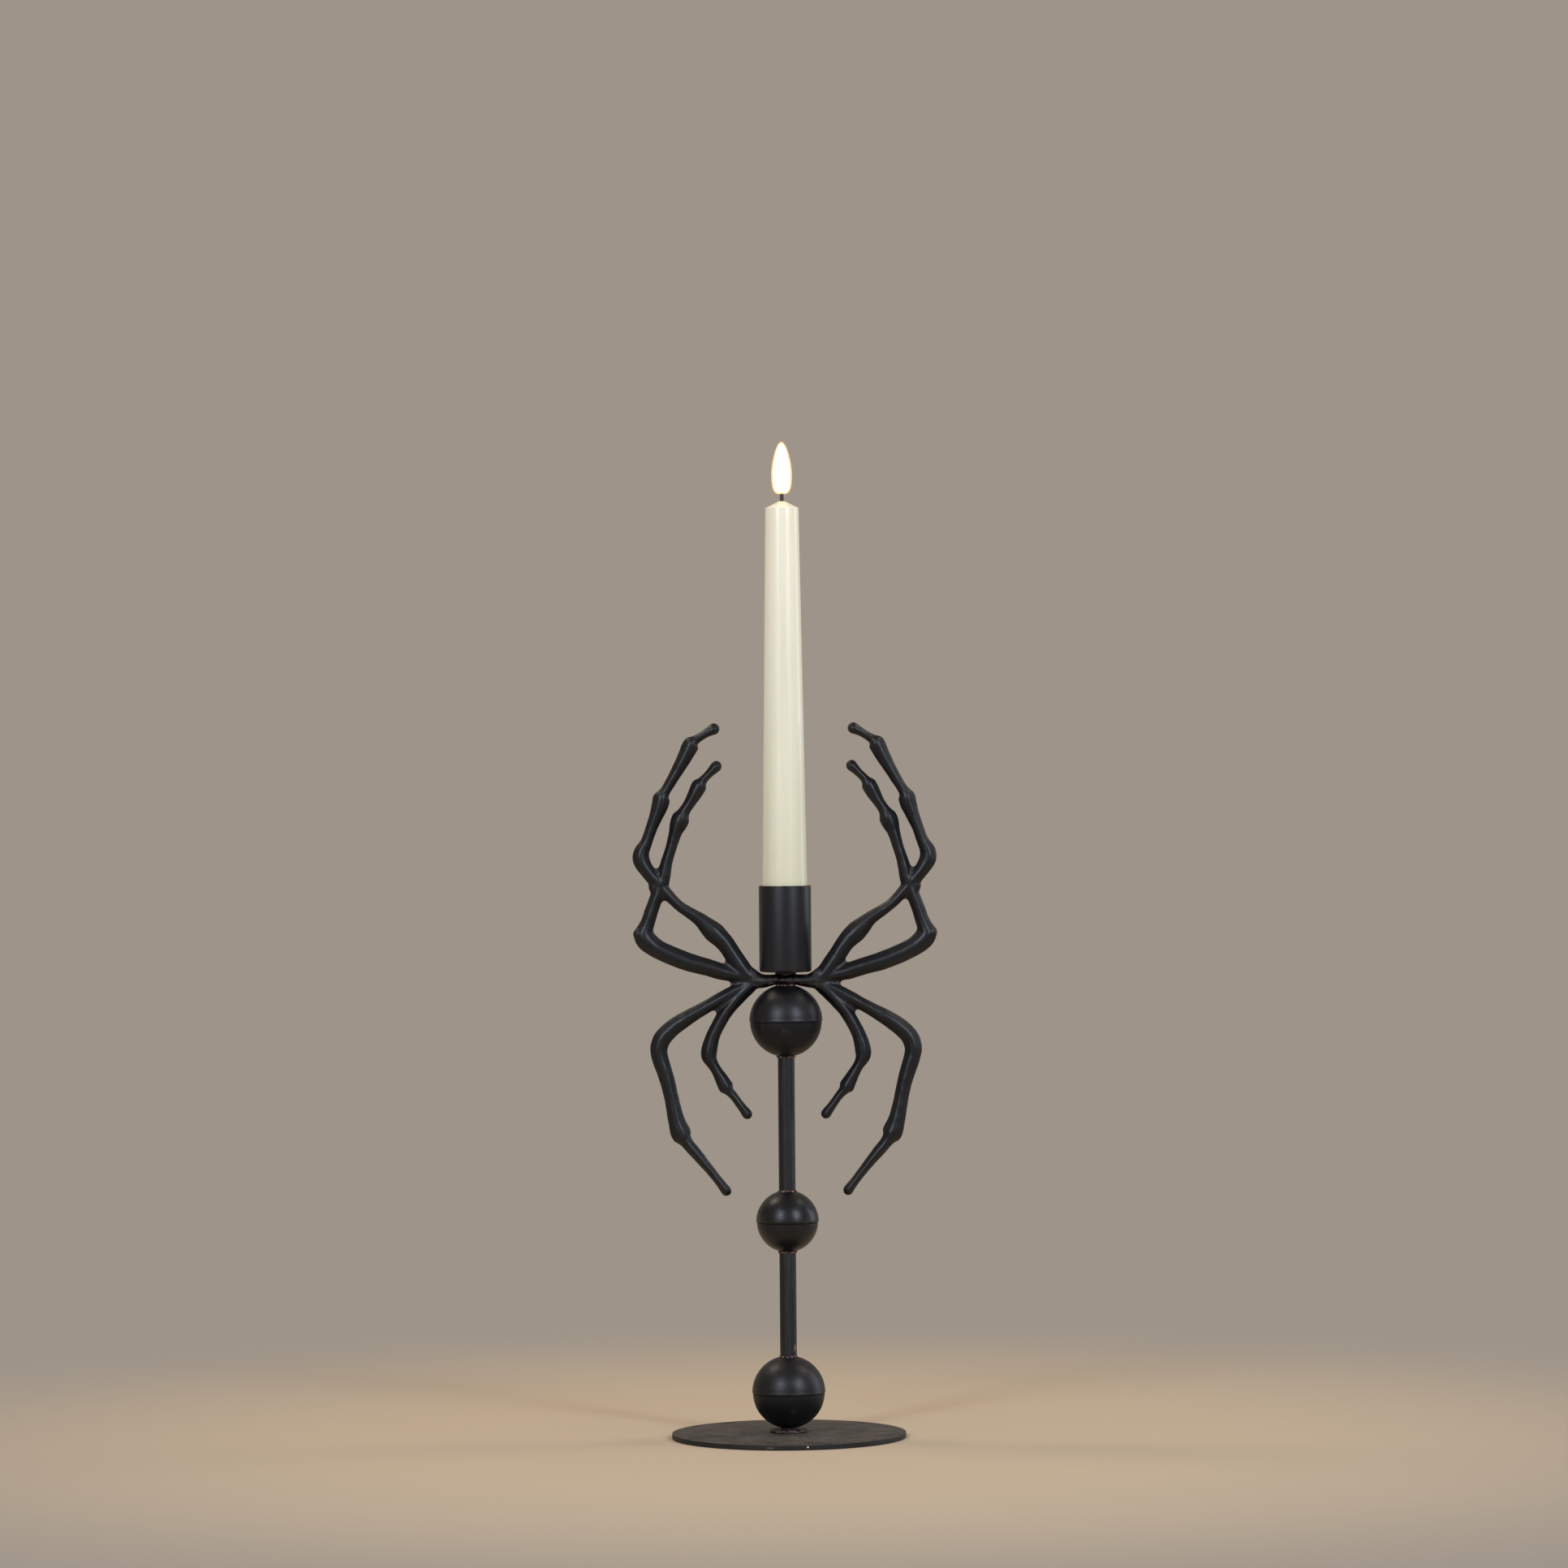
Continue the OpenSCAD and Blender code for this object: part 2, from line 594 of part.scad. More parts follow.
// Room for one lug: the turn between locked and open, and the way in from below
module lug_slot() {
    r = chamber_r(tube_z);
    depth = lug_w - turning_gap + moving_gap / 2;
    h = lug_h + moving_gap;
    rotate([0, 0, -lug_angle / 2 - slot_spare_angle])
        translate([0, 0, lug_z - moving_gap / 2])
            rotate_extrude(angle = lug_angle + lock_angle + 2 * slot_spare_angle)
                translate([r - over, 0]) square([depth + over, h]);
    rotate([0, 0, lock_angle - lug_angle / 2 - slot_spare_angle / 2])
        translate([0, 0, tube_z - over])
            rotate_extrude(angle = lug_angle + slot_spare_angle)
                translate([r - over, 0]) square([depth + over, lug_z - tube_z + over + h / 2]);
}

// Moulded tube: battery chamber below the ledge, lamp chamber above it, bayonet slots at the foot
module candle_tube() {
    hole_r = wick_d / 2 + slip;
    color([0.90, 0.88, 0.80]) difference() {
        turned([
            [tube_r(tube_z), tube_z], [tube_r(taper_z), taper_z], [tube_r(tube_top_z), tube_top_z],
            [hole_r, tube_top_z], [hole_r, ceiling_z], [chamber_r(ceiling_z) - ledge_w, ceiling_z],
            [chamber_r(ledge_z) - ledge_w, ledge_z], [chamber_r(ledge_z), ledge_z],
            [chamber_r(taper_z), taper_z], [chamber_r(tube_z), tube_z]]);
        wall_bar(groove_h, groove_h + over, strip_w + 2 * turning_gap);
        for (a = [90, 270]) rotate([0, 0, a]) lug_slot();
    }
}

module return_strip() {
    color([0.75, 0.62, 0.30]) wall_bar(groove_h - slip, strip_t, strip_w);
}

module wick_stem() {
    color([0.05, 0.04, 0.045]) translate([0, 0, wick_foot_z]) difference() {
        cylinder(d = wick_d, h = led_z - wick_foot_z);
        translate([0, 0, -over]) cylinder(r = wick_d / 2 - wick_wall, h = led_z - wick_foot_z + 2 * over);
    }
}

// Hollow moulded flame with a socket for the stem in its floor
module flame_diffuser() {
    r = flame_d / 2;
    first = flame_hollow_rows[0];
    final = flame_hollow_rows[1];
    hollow = [for (i = [first:final]) [r * flame_shares[i][1] - flame_wall, flame_h * flame_shares[i][0]]];
    color([1.0, 0.86, 0.60]) translate([0, 0, flame_z]) difference() {
        turned(concat([for (s = flame_shares) [r * s[1], flame_h * s[0]]], [[0, flame_h], [0, 0]]));
        turned(concat(
            [[0, flame_floor_t], [hollow[0][0], flame_floor_t]], hollow, [[0, hollow[final - first][1]]]));
        translate([0, 0, -over]) cylinder(r = wick_d / 2 + slip, h = flame_floor_t + 2 * over);
    }
}

module flame_led() {
    color([1.0, 0.95, 0.80]) translate([0, 0, led_z]) {
        cylinder(d = led_d, h = led_h);
        translate([0, 0, led_h]) sphere(d = led_d);
    }
}

module led_leads() {
    color([0.72, 0.40, 0.20]) for (side = [-1, 1])
        translate([side * lead_x, 0, ledge_z]) cylinder(d = lead_d, h = led_z - ledge_z);
}

module timer_board() {
    color([0.05, 0.30, 0.15]) translate([0, 0, board_z])
        cylinder(r = chamber_r(ledge_z) - turning_gap, h = board_t);
}

module timer_chip() {
    color([0.03, 0.03, 0.03]) translate([-chip_w / 2, chip_y, ledge_z]) cube([chip_w, chip_w, chip_t]);
}

module board_contact() {
    color([0.75, 0.62, 0.30]) translate([0, 0, contact_z]) cylinder(d = contact_d, h = contact_t);
}

// Round cell, nub up
module battery(z) {
    r = battery_d / 2;
    nub_r = nub_d / 2;
    color([0.12, 0.13, 0.16]) translate([0, 0, z]) turned([
        [0, 0], [r - small_edge, 0], [r, small_edge], [r, battery_l - small_edge], [r - small_edge, battery_l],
        [nub_r, battery_l], [nub_r, battery_l + nub_h], [0, battery_l + nub_h]]);
}

module upper_battery() battery(upper_battery_z);
module lower_battery() battery(battery_z);

// Battery cap: hollow foot, web with the switch slot, and a collar with two bayonet lugs
module candle_cap() {
    foot_r = candle_d / 2;
    color([0.88, 0.86, 0.78]) difference() {
        union() {
            turned([
                [0, candle_z], [foot_r - small_edge, candle_z], [foot_r, candle_z + small_edge],
                [foot_r, flange_z], [collar_r, flange_z], [collar_r, flange_z + collar_h],
                [collar_r - collar_wall, flange_z + collar_h], [collar_r - collar_wall, flange_z],
                [0, flange_z]]);
            for (a = [90, 270]) rotate([0, 0, a - lug_angle / 2]) translate([0, 0, lug_z])
                rotate_extrude(angle = lug_angle)
                    translate([collar_r - collar_wall / 2, 0]) square([collar_wall / 2 + lug_w, lug_h]);
        }
        translate([0, 0, candle_z - over]) cylinder(d = hollow_d, h = hollow_h + over);
        translate([-slot_l / 2, -slot_w / 2, candle_z]) cube([slot_l, slot_w, flange_h + over]);
    }
}

// Coil spring between the cap's web and the lower battery
module cap_spring() {
    r = spring_wire / 2;
    turns_h = spring_h - spring_wire - 2 * slip;
    count = spring_turns * spring_steps;
    climb = atan(turns_h / (spring_turns * PI * spring_d));
    color([0.65, 0.66, 0.68]) translate([0, 0, flange_z + r + slip]) skin([
        for (i = [0:count])
        let (a = 360 * i / spring_steps, z = turns_h * i / count)
        [
            for (j = [0:wire_sides - 1])
            let (b = 360 * j / wire_sides, out = spring_d / 2 + r * cos(b), up = r * sin(b))
            [
                out * cos(a) + up * sin(climb) * sin(a),
                out * sin(a) - up * sin(climb) * cos(a),
                z + up * cos(climb)]]]);
}

module switch_body() {
    color([0.06, 0.06, 0.06]) translate([0, 0, flange_z]) difference() {
        translate([-switch_l / 2, -switch_w / 2, 0]) cube([switch_l, switch_w, switch_h]);
        translate([-slot_l / 2, -slot_w / 2, -over])
            cube([slot_l, slot_w, neck_in + moving_gap + over]);
    }
}

// Switch knob at the end of its travel where the lamp is on
module switch_knob() {
    x = -switch_travel / 2;
    web_z = candle_z + hollow_h;
    color([0.05, 0.05, 0.05]) translate([x, 0, 0]) {
        translate([-neck_l / 2, -neck_w / 2, web_z - moving_gap])
            cube([neck_l, neck_w, web_t + moving_gap + neck_in]);
        translate([-neck_l / 2 - grip_w, -neck_w / 2 - grip_w, web_z - moving_gap - grip_t])
            cube([neck_l + 2 * grip_w, neck_w + 2 * grip_w, grip_t]);
    }
}

base_plate();
base_screw();
base_washer();
stem_rod();
lower_ball_base_half();
lower_ball_top_half();
middle_ball_base_half();
middle_ball_top_half();
upper_ball_base_half();
upper_ball_top_half();
weld_rings();
spider_hub();
left_upper_legs();
right_upper_legs();
left_lower_legs();
right_lower_legs();
cup_spacer();
candle_cup();
cup_screw();
candle_wax();
candle_tube();
wick_stem();
flame_diffuser();
flame_led();
led_leads();
timer_board();
timer_chip();
board_contact();
upper_battery();
lower_battery();
return_strip();
candle_cap();
cap_spring();
switch_body();
switch_knob();
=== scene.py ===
import math

import bmesh
import bpy
from mathutils import Matrix, Vector, noise


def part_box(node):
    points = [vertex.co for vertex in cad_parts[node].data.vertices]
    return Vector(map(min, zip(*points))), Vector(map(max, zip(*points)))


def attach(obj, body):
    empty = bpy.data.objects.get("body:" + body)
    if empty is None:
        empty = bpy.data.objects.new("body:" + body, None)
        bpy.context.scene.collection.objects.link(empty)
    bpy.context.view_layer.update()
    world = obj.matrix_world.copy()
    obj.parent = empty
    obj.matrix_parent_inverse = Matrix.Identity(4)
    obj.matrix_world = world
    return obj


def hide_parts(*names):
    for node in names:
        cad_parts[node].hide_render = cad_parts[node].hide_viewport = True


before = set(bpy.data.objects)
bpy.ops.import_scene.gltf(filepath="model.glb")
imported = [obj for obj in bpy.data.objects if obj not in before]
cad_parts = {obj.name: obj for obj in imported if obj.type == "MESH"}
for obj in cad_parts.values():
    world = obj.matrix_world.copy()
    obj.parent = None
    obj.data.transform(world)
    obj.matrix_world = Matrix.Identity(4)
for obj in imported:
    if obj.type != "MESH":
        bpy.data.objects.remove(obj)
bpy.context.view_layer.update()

# Base plate
# A disc cut from steel sheet, with both rims broken and a matt coat that has gathered dust.
# One countersunk screw from below pulls it against the washer and the rod.

mm = 0.001


class Wire:
    """A shader socket. A sum that it is used in adds a Math node."""

    def __init__(self, finish, socket):
        self.finish = finish
        self.socket = socket

    def worked(self, operation, first, second):
        return self.finish.node("Math", {"operation": operation}, {0: first, 1: second})

    def __add__(self, other):
        return self.worked("ADD", self, other)

    def __sub__(self, other):
        return self.worked("SUBTRACT", self, other)

    def __rsub__(self, other):
        return self.worked("SUBTRACT", other, self)

    def __mul__(self, other):
        return self.worked("MULTIPLY", self, other)

    __radd__ = __add__
    __rmul__ = __mul__


class Finish:
    """A material round one Principled shader, with its even values on the shader's own sockets."""

    def __init__(self, name, even):
        self.material = bpy.data.materials.new(name)
        self.material.use_nodes = True
        self.tree = self.material.node_tree
        self.shader = self.tree.nodes["Principled BSDF"]
        for socket, value in even.items():
            self.shader.inputs[socket].default_value = value
        self.place = self.node("TexCoord", {}, {}, "Object")

    def node(self, kind, settings, values, result=0):
        made = self.tree.nodes.new("ShaderNode" + kind)
        for name, value in settings.items():
            setattr(made, name, value)
        for key, value in values.items():
            if isinstance(value, Wire):
                self.tree.links.new(value.socket, made.inputs[key])
            else:
                made.inputs[key].default_value = value
        return Wire(self, made.outputs[result])

    def feed(self, socket, wire):
        self.tree.links.new(wire.socket, self.shader.inputs[socket])

    def grain(self, size, detail=3.0, stretch=(1, 1, 1)):
        """Noise with cells of that size in metres, drawn out along an axis whose stretch is small."""
        place = self.node("Mapping", {}, {"Vector": self.place, "Scale": stretch})
        return self.node("TexNoise", {}, {"Vector": place, "Scale": 1 / size, "Detail": detail})

    def fade(self, wire, low, high):
        """0 below low, 1 above high, with a soft step between them."""
        limits = {"Value": wire, "From Min": low, "From Max": high}
        return self.node("MapRange", {"interpolation_type": "SMOOTHSTEP"}, limits)

    def mix(self, mask, first, second):
        return self.node("Mix", {"data_type": "RGBA"}, {0: mask, 6: first, 7: second}, 2)

    def along(self, axis):
        return self.node("SeparateXYZ", {}, {0: self.place}, axis)

    def near(self, spot, close, far, squeeze=(1, 1, 1)):
        """1 closer to the spot than close, 0 beyond far, and drawn out where the squeeze is small."""
        apart = self.node("VectorMath", {"operation": "SUBTRACT"}, {0: self.place, 1: spot})
        apart = self.node("VectorMath", {"operation": "MULTIPLY"}, {0: apart, 1: squeeze})
        distance = self.node("VectorMath", {"operation": "LENGTH"}, {0: apart}, "Value")
        return 1 - self.fade(distance, close, far)

    def bump(self, height, depth):
        self.feed("Normal", self.node("Bump", {}, {"Height": height, "Distance": depth}))


def tone(red, green, blue):
    """A colour as a screen shows it, from 0 to 255, as the shaders' linear red, green, blue and alpha."""
    shares = [c / 255 for c in (red, green, blue)]
    return (*[s / 12.92 if s < 0.04045 else ((s + 0.055) / 1.055) ** 2.4 for s in shares], 1.0)


def rounded(outline, steps=5):
    """The outline of radii and heights. A point's third number is the radius of an arc in its corner."""
    points = []
    for i, (r, z, *fillet) in enumerate(outline):
        corner = Vector((r, z))
        if not fillet:
            points.append(corner)
            continue
        back = (Vector(outline[i - 1][:2]) - corner).normalized()
        ahead = (Vector(outline[(i + 1) % len(outline)][:2]) - corner).normalized()
        half = back.angle(ahead) / 2
        middle = corner + (back + ahead).normalized() * fillet[0] / math.sin(half)
        start = corner + back * fillet[0] / math.tan(half) - middle
        end = corner + ahead * fillet[0] / math.tan(half) - middle
        for k in range(steps + 1):
            points.append(middle + start.lerp(end, k / steps).normalized() * fillet[0])
    return points


def turned(outline, closed=True, turns=128):
    """A mesh spun round the stem from an outline. An open one starts and ends on the axis."""
    mesh = bmesh.new()
    points = [mesh.verts.new((p.x, 0, p.y)) for p in rounded(outline)]
    ends = points[1:] + points[:1] if closed else points[1:]
    edges = [mesh.edges.new(pair) for pair in zip(points, ends)]
    bmesh.ops.spin(
        mesh, geom=points + edges, cent=(0, 0, 0), axis=(0, 0, 1), angle=math.tau, steps=turns,
        use_merge=True)
    same_place = 0.001 * mm
    bmesh.ops.remove_doubles(mesh, verts=mesh.verts, dist=same_place)
    bmesh.ops.recalc_face_normals(mesh, faces=mesh.faces)
    return mesh


def finished(name, mesh, finish, crease=40):
    """The object of a mesh, smooth up to edges of the crease angle, with its material."""
    data = bpy.data.meshes.new(name)
    mesh.to_mesh(data)
    mesh.free()
    data.polygons.foreach_set("use_smooth", [True] * len(data.polygons))
    data.set_sharp_from_angle(angle=math.radians(crease))
    data.materials.append(finish.material)
    made = bpy.data.objects.new(name, data)
    bpy.context.scene.collection.objects.link(made)
    return made


plate_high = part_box("base_plate")[1]
plate_r = plate_high.x
plate_t = plate_high.z
plate_rim = 0.25 * mm
sink_gap = 0.15 * mm
sunk_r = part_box("base_screw")[1].x + sink_gap
screw_hole_r = 2.75 * mm
plate = turned([
    (screw_hole_r, plate_t), (plate_r, plate_t, plate_rim), (plate_r, 0, plate_rim),
    (sunk_r, 0), (screw_hole_r, sunk_r - screw_hole_r)])

dusty_coat = Finish("dusty_coat", {"Metallic": 0.0, "Specular IOR Level": 0.4})
mottle = dusty_coat.grain(14 * mm, 6)
wipes = dusty_coat.grain(4 * mm, 5, (0.6, 1, 1))
specks = dusty_coat.fade(dusty_coat.grain(1.1 * mm, 2), 0.64, 0.72)
pores = dusty_coat.grain(0.5 * mm, 3)
bare_depth = 0.16 * mm
dusty_depth = 0.04 * mm
lying = dusty_coat.fade(dusty_coat.along("Z"), plate_t - bare_depth, plate_t - dusty_depth)
# Paler dust and more pale specks towards the front middle of the top.
front_paling_place = (0, -26 * mm, plate_t)
front_paling = dusty_coat.near(front_paling_place, 8 * mm, 30 * mm)
dust_colour = dusty_coat.mix(dusty_coat.fade(mottle, 0.3, 0.7), tone(31, 28, 26), tone(70, 62, 55))
dust_colour = dusty_coat.mix(dusty_coat.fade(wipes, 0.45, 0.7) * 0.6, dust_colour, tone(92, 83, 74))
dust_colour = dusty_coat.mix(0.5 * front_paling, dust_colour, tone(92, 85, 78))
dust_colour = dusty_coat.mix(specks * (0.3 + 0.6 * front_paling), dust_colour, tone(178, 174, 168))
edge_colour = dusty_coat.mix(dusty_coat.fade(mottle, 0.3, 0.7), tone(8, 8, 9), tone(18, 16, 16))
scrape_place = (-9.5 * mm, -plate_r, 1.2 * mm)
scrape = dusty_coat.near(scrape_place, 0.2 * mm, 0.5 * mm, squeeze=(0.15, 0.3, 1))
edge_colour = dusty_coat.mix(scrape, edge_colour, tone(104, 86, 70))
chip_angle = math.radians(9)
chip_place = (plate_r * math.sin(chip_angle), -plate_r * math.cos(chip_angle), 1.5 * mm)
chip = dusty_coat.near(chip_place, 0.3 * mm, 0.5 * mm)
edge_colour = dusty_coat.mix(chip, edge_colour, tone(214, 210, 204))
dusty_coat.feed("Base Color", dusty_coat.mix(lying, edge_colour, dust_colour))
dusty_coat.feed("Roughness", 0.45 + 0.25 * mottle)
dusty_coat.bump(pores + 0.6 * wipes, 0.03 * mm)

base_plate = finished("base_disc", plate, dusty_coat)
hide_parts("base_plate")
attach(base_plate, "holder")

# Screws
# A countersunk screw in the base and a button-head screw in the cup, both of blackened steel.
# Neither shows while the candle stands in its cup.


def coat_node(node, finish):
    """Gives a CAD node its material."""
    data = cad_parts[node].data
    data.materials.clear()
    data.materials.append(finish.material)


blackened = Finish("blackened_steel", {"Metallic": 1.0, "Base Color": tone(92, 92, 96)})
blackened.feed("Roughness", 0.3 + 0.2 * blackened.grain(0.8 * mm, 4))
blackened.bump(blackened.grain(0.25 * mm, 2, (1, 1, 0.2)), 0.01 * mm)
coat_node("base_screw", blackened)
coat_node("cup_screw", blackened)

# Washer
# A thick turned washer with a well rounded rim, whose coat has worn and rusted in patches.

washer_low, washer_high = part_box("base_washer")
washer_foot_edge = 0.5 * mm
washer_top_edge = 0.9 * mm
washer = turned([
    (screw_hole_r, washer_low.z), (washer_high.x, washer_low.z, washer_foot_edge),
    (washer_high.x, washer_high.z, washer_top_edge), (screw_hole_r, washer_high.z)])


def black_coat(name, rust, rust_size, specular, pale_rust):
    """Fine black coat on iron with brown patches. Gives the finish, its clouds, patches and colour."""
    coat = Finish(name, {"Specular IOR Level": specular})
    cloud = coat.grain(6 * mm, 5)
    patch = coat.fade(coat.grain(rust_size, 3), 1 - rust, 1.12 - rust)
    colour = coat.mix(coat.fade(cloud, 0.35, 0.7), tone(6, 7, 11), tone(14, 13, 15))
    brown = coat.mix(coat.fade(coat.grain(0.9 * mm, 3), 0.4, 0.65), tone(30, 24, 21), pale_rust)
    return coat, cloud, patch, coat.mix(patch, colour, brown)


worn_coat, worn_cloud, worn_patch, worn_colour = black_coat(
    "worn_coat", rust=0.56, rust_size=3.5 * mm, specular=0.35, pale_rust=tone(100, 77, 67))
worn_coat.feed("Base Color", worn_colour)
worn_coat.feed("Roughness", 0.42 + 0.14 * worn_cloud + 0.1 * worn_patch)
worn_coat.bump(worn_coat.grain(0.4 * mm, 3) + worn_cloud, 0.05 * mm)
base_washer = finished("base_ring", washer, worn_coat)
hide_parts("base_washer")
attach(base_washer, "holder")

# Rod
# One 8 mm bar through all three balls, drawn and coated, with fine scratches along it
# and brown marks where it was handled.

rod_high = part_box("stem_rod")[1]
rod_r = rod_high.x
rod_coat, rod_cloud, rod_patch, rod_colour = black_coat(
    "rod_coat", rust=0.36, rust_size=7 * mm, specular=0.42, pale_rust=tone(60, 50, 46))
rod_coat.feed("Roughness", 0.40 + 0.14 * rod_cloud + 0.1 * rod_patch)
scratches = rod_coat.fade(rod_coat.grain(1.2 * mm, 5, (1, 1, 0.04)), 0.52, 0.66)
mark_place = (0.8 * rod_r, -0.6 * rod_r, 43 * mm)
rod_mark = rod_coat.near(mark_place, 0.6 * mm, 1.3 * mm, squeeze=(1, 1, 0.6))
rod_mark = rod_mark * rod_coat.fade(rod_coat.grain(0.7 * mm, 3), 0.4, 0.6)
rod_colour = rod_coat.mix(scratches * 0.6, rod_colour, tone(44, 43, 50))
rod_coat.feed("Base Color", rod_coat.mix(rod_mark, rod_colour, tone(128, 96, 84)))
rod_coat.bump(rod_coat.grain(0.5 * mm, 3) + scratches * 0.8 + 2 * rod_cloud, 0.04 * mm)
coat_node("stem_rod", rod_coat)

# Balls
# Each is two halves pressed from sheet and welded on the equator. The upper half ends in a fine
# lip over the lower one. Its coat is semi-gloss, and so is all of the middle ball's.

balls = ("lower", "middle", "upper")
ball_wall = 1.5 * mm
ball_steps = 26
rod_gap = 0.05 * mm
lip_w = 0.3 * mm
lip_edge = 0.08 * mm
lip_flare = 0.05 * mm
groove_h = 0.35 * mm
groove_w = 0.25 * mm
upper_coat, upper_cloud, _, upper_colour = black_coat(
    "upper_coat", rust=0.36, rust_size=9 * mm, specular=0.39, pale_rust=tone(48, 39, 34))
upper_coat.feed("Base Color", upper_colour)
middle_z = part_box("middle_ball_top_half")[0].z
polish = upper_coat.near((0, 0, middle_z), 16 * mm, 20 * mm)
upper_coat.feed("Roughness", 0.35 + 0.14 * upper_cloud - 0.07 * polish)
upper_coat.bump(upper_coat.grain(0.7 * mm, 3) * (1 + 0.8 * polish) + 5 * upper_cloud, 0.03 * mm)
lower_coat, lower_cloud, lower_patch, lower_colour = black_coat(
    "lower_coat", rust=0.36, rust_size=9 * mm, specular=0.29, pale_rust=tone(58, 46, 40))
lower_coat.feed("Base Color", lower_colour)
lower_coat.feed("Roughness", 0.40 + 0.14 * lower_cloud + 0.1 * lower_patch)
lower_coat.bump(lower_coat.grain(0.7 * mm, 3) + 5 * lower_cloud, 0.03 * mm)


def half_ball(node, upper):
    """Half shell with its rod hole. The lower half is drawn in a little under the upper one's lip."""
    low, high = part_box(node)
    r = high.x if upper else high.x - lip_w
    seam = low.z if upper else high.z
    side = 1 if upper else -1
    hole_r = rod_r + rod_gap
    inner_r = r - ball_wall
    outer_end = math.acos(hole_r / r)
    inner_end = math.acos(hole_r / inner_r)
    outer = [(r * math.cos(a), seam + side * r * math.sin(a))
             for a in (outer_end * k / ball_steps for k in range(ball_steps + 1))]
    inner = [(inner_r * math.cos(a), seam + side * inner_r * math.sin(a))
             for a in (inner_end * k / ball_steps for k in range(ball_steps, -1, -1))]
    if upper:
        outer[0] = (r, seam, lip_edge)
        outer.insert(1, (r + lip_flare, seam + 2 * groove_h))
    else:
        outer[0] = (r - groove_w, seam)
        outer.insert(1, (r - groove_w, seam - 0.6 * groove_h))
        outer.insert(2, (r, seam - 1.4 * groove_h))
    coat = upper_coat if upper or "middle" in node else lower_coat
    half = finished(node.replace("half", "shell"), turned(outer + inner), coat)
    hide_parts(node)
    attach(half, "holder")


for ball in balls:
    half_ball(ball + "_ball_base_half", False)
    half_ball(ball + "_ball_top_half", True)

# Weld rings
# The beads that fix the balls to the rod: lumpy, broken in places, brown with rust and with pale
# spatter that the coat has left bare.

bead_coat = Finish("bead_coat", {"Specular IOR Level": 0.3, "Roughness": 0.7})
bead_spots = bead_coat.fade(bead_coat.grain(1.5 * mm, 2), 0.5, 0.6)
bead_rust = bead_coat.fade(bead_coat.grain(1.6 * mm, 3), 0.46, 0.62)
bead_colour = bead_coat.mix(bead_rust, tone(20, 18, 18), tone(72, 46, 38))
bead_coat.feed("Base Color", bead_coat.mix(bead_spots * 0.7, bead_colour, tone(156, 122, 104)))
bead_coat.bump(bead_coat.grain(0.4 * mm, 3), 0.15 * mm)


def add_to(whole, piece):
    """Adds one mesh to another and frees it."""
    data = bpy.data.meshes.new("piece")
    piece.to_mesh(data)
    piece.free()
    whole.from_mesh(data)
    bpy.data.meshes.remove(data)


beads = bmesh.new()
ball_r = {name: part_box(name + "_ball_top_half")[1].x for name in balls}
ball_z = {name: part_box(name + "_ball_top_half")[0].z for name in balls}
bead_gap = 0.02 * mm
bead_r = rod_r + bead_gap
bead_w = 0.55 * mm
bead_sunk = 0.1 * mm
bead_skirt = 0.25 * mm
bead_foot_edge = 0.1 * mm
bead_top_edge = 0.2 * mm
bead_swell = 0.7
for ball, side in (("lower", 1), ("middle", -1), ("middle", 1), ("upper", -1), ("upper", 1)):
    foot = math.sqrt(ball_r[ball] ** 2 - bead_r ** 2)
    ring = turned([
        (bead_r, foot - bead_sunk), (bead_r + bead_w, foot - bead_skirt, bead_foot_edge),
        (bead_r + 0.8 * bead_w, foot + 0.4 * bead_w, bead_top_edge), (bead_r, foot + 0.9 * bead_w)])
    for v in ring.verts:
        around = Vector((v.co.x, v.co.y, 0)).normalized()
        swell = 1 + bead_swell * noise.noise(around * 4 + Vector((0, 0, 9 * ball_z[ball] / rod_r)))
        out = (v.co.xy.length - bead_r) * swell
        v.co = around * (bead_r + out) + Vector((0, 0, foot + (v.co.z - foot) * swell))
        v.co.z = ball_z[ball] + side * v.co.z
    bmesh.ops.recalc_face_normals(ring, faces=ring.faces)
    add_to(beads, ring)
weld_beads = finished("weld_beads", beads, bead_coat)
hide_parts("weld_rings")
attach(weld_beads, "holder")

# Spider casting
# One flat iron casting: a bridge with a round boss, and four jointed legs on each side. A leg is a
# rounded ridge on a broader flank. Rust shows in the crotches and along the parting line.

leg_reach = 69 * mm
leg_rise = 120 * mm
leg_drop = 101 * mm
leg_w = 8.4 * mm
leg_depth = 7 * mm
thin_depth_share = 0.4
bridge_reach = 17 * mm
bridge_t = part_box("cup_spacer")[0].z - rod_high.z
bridge_depth = 8.6 * mm
boss_r = 6 * mm
hub_share = 0.44
hub_z = rod_high.z + hub_share * bridge_t
voxel = 0.5 * mm
fillet_r = 0.7 * mm
unevenness = 0.1 * mm
uneven_size = 4 * mm

# A leg's flank and its ridge: the shares of the leg's width and of its depth
flank_shares = (1.02, 0.70)
ridge_shares = (0.76, 1.00)
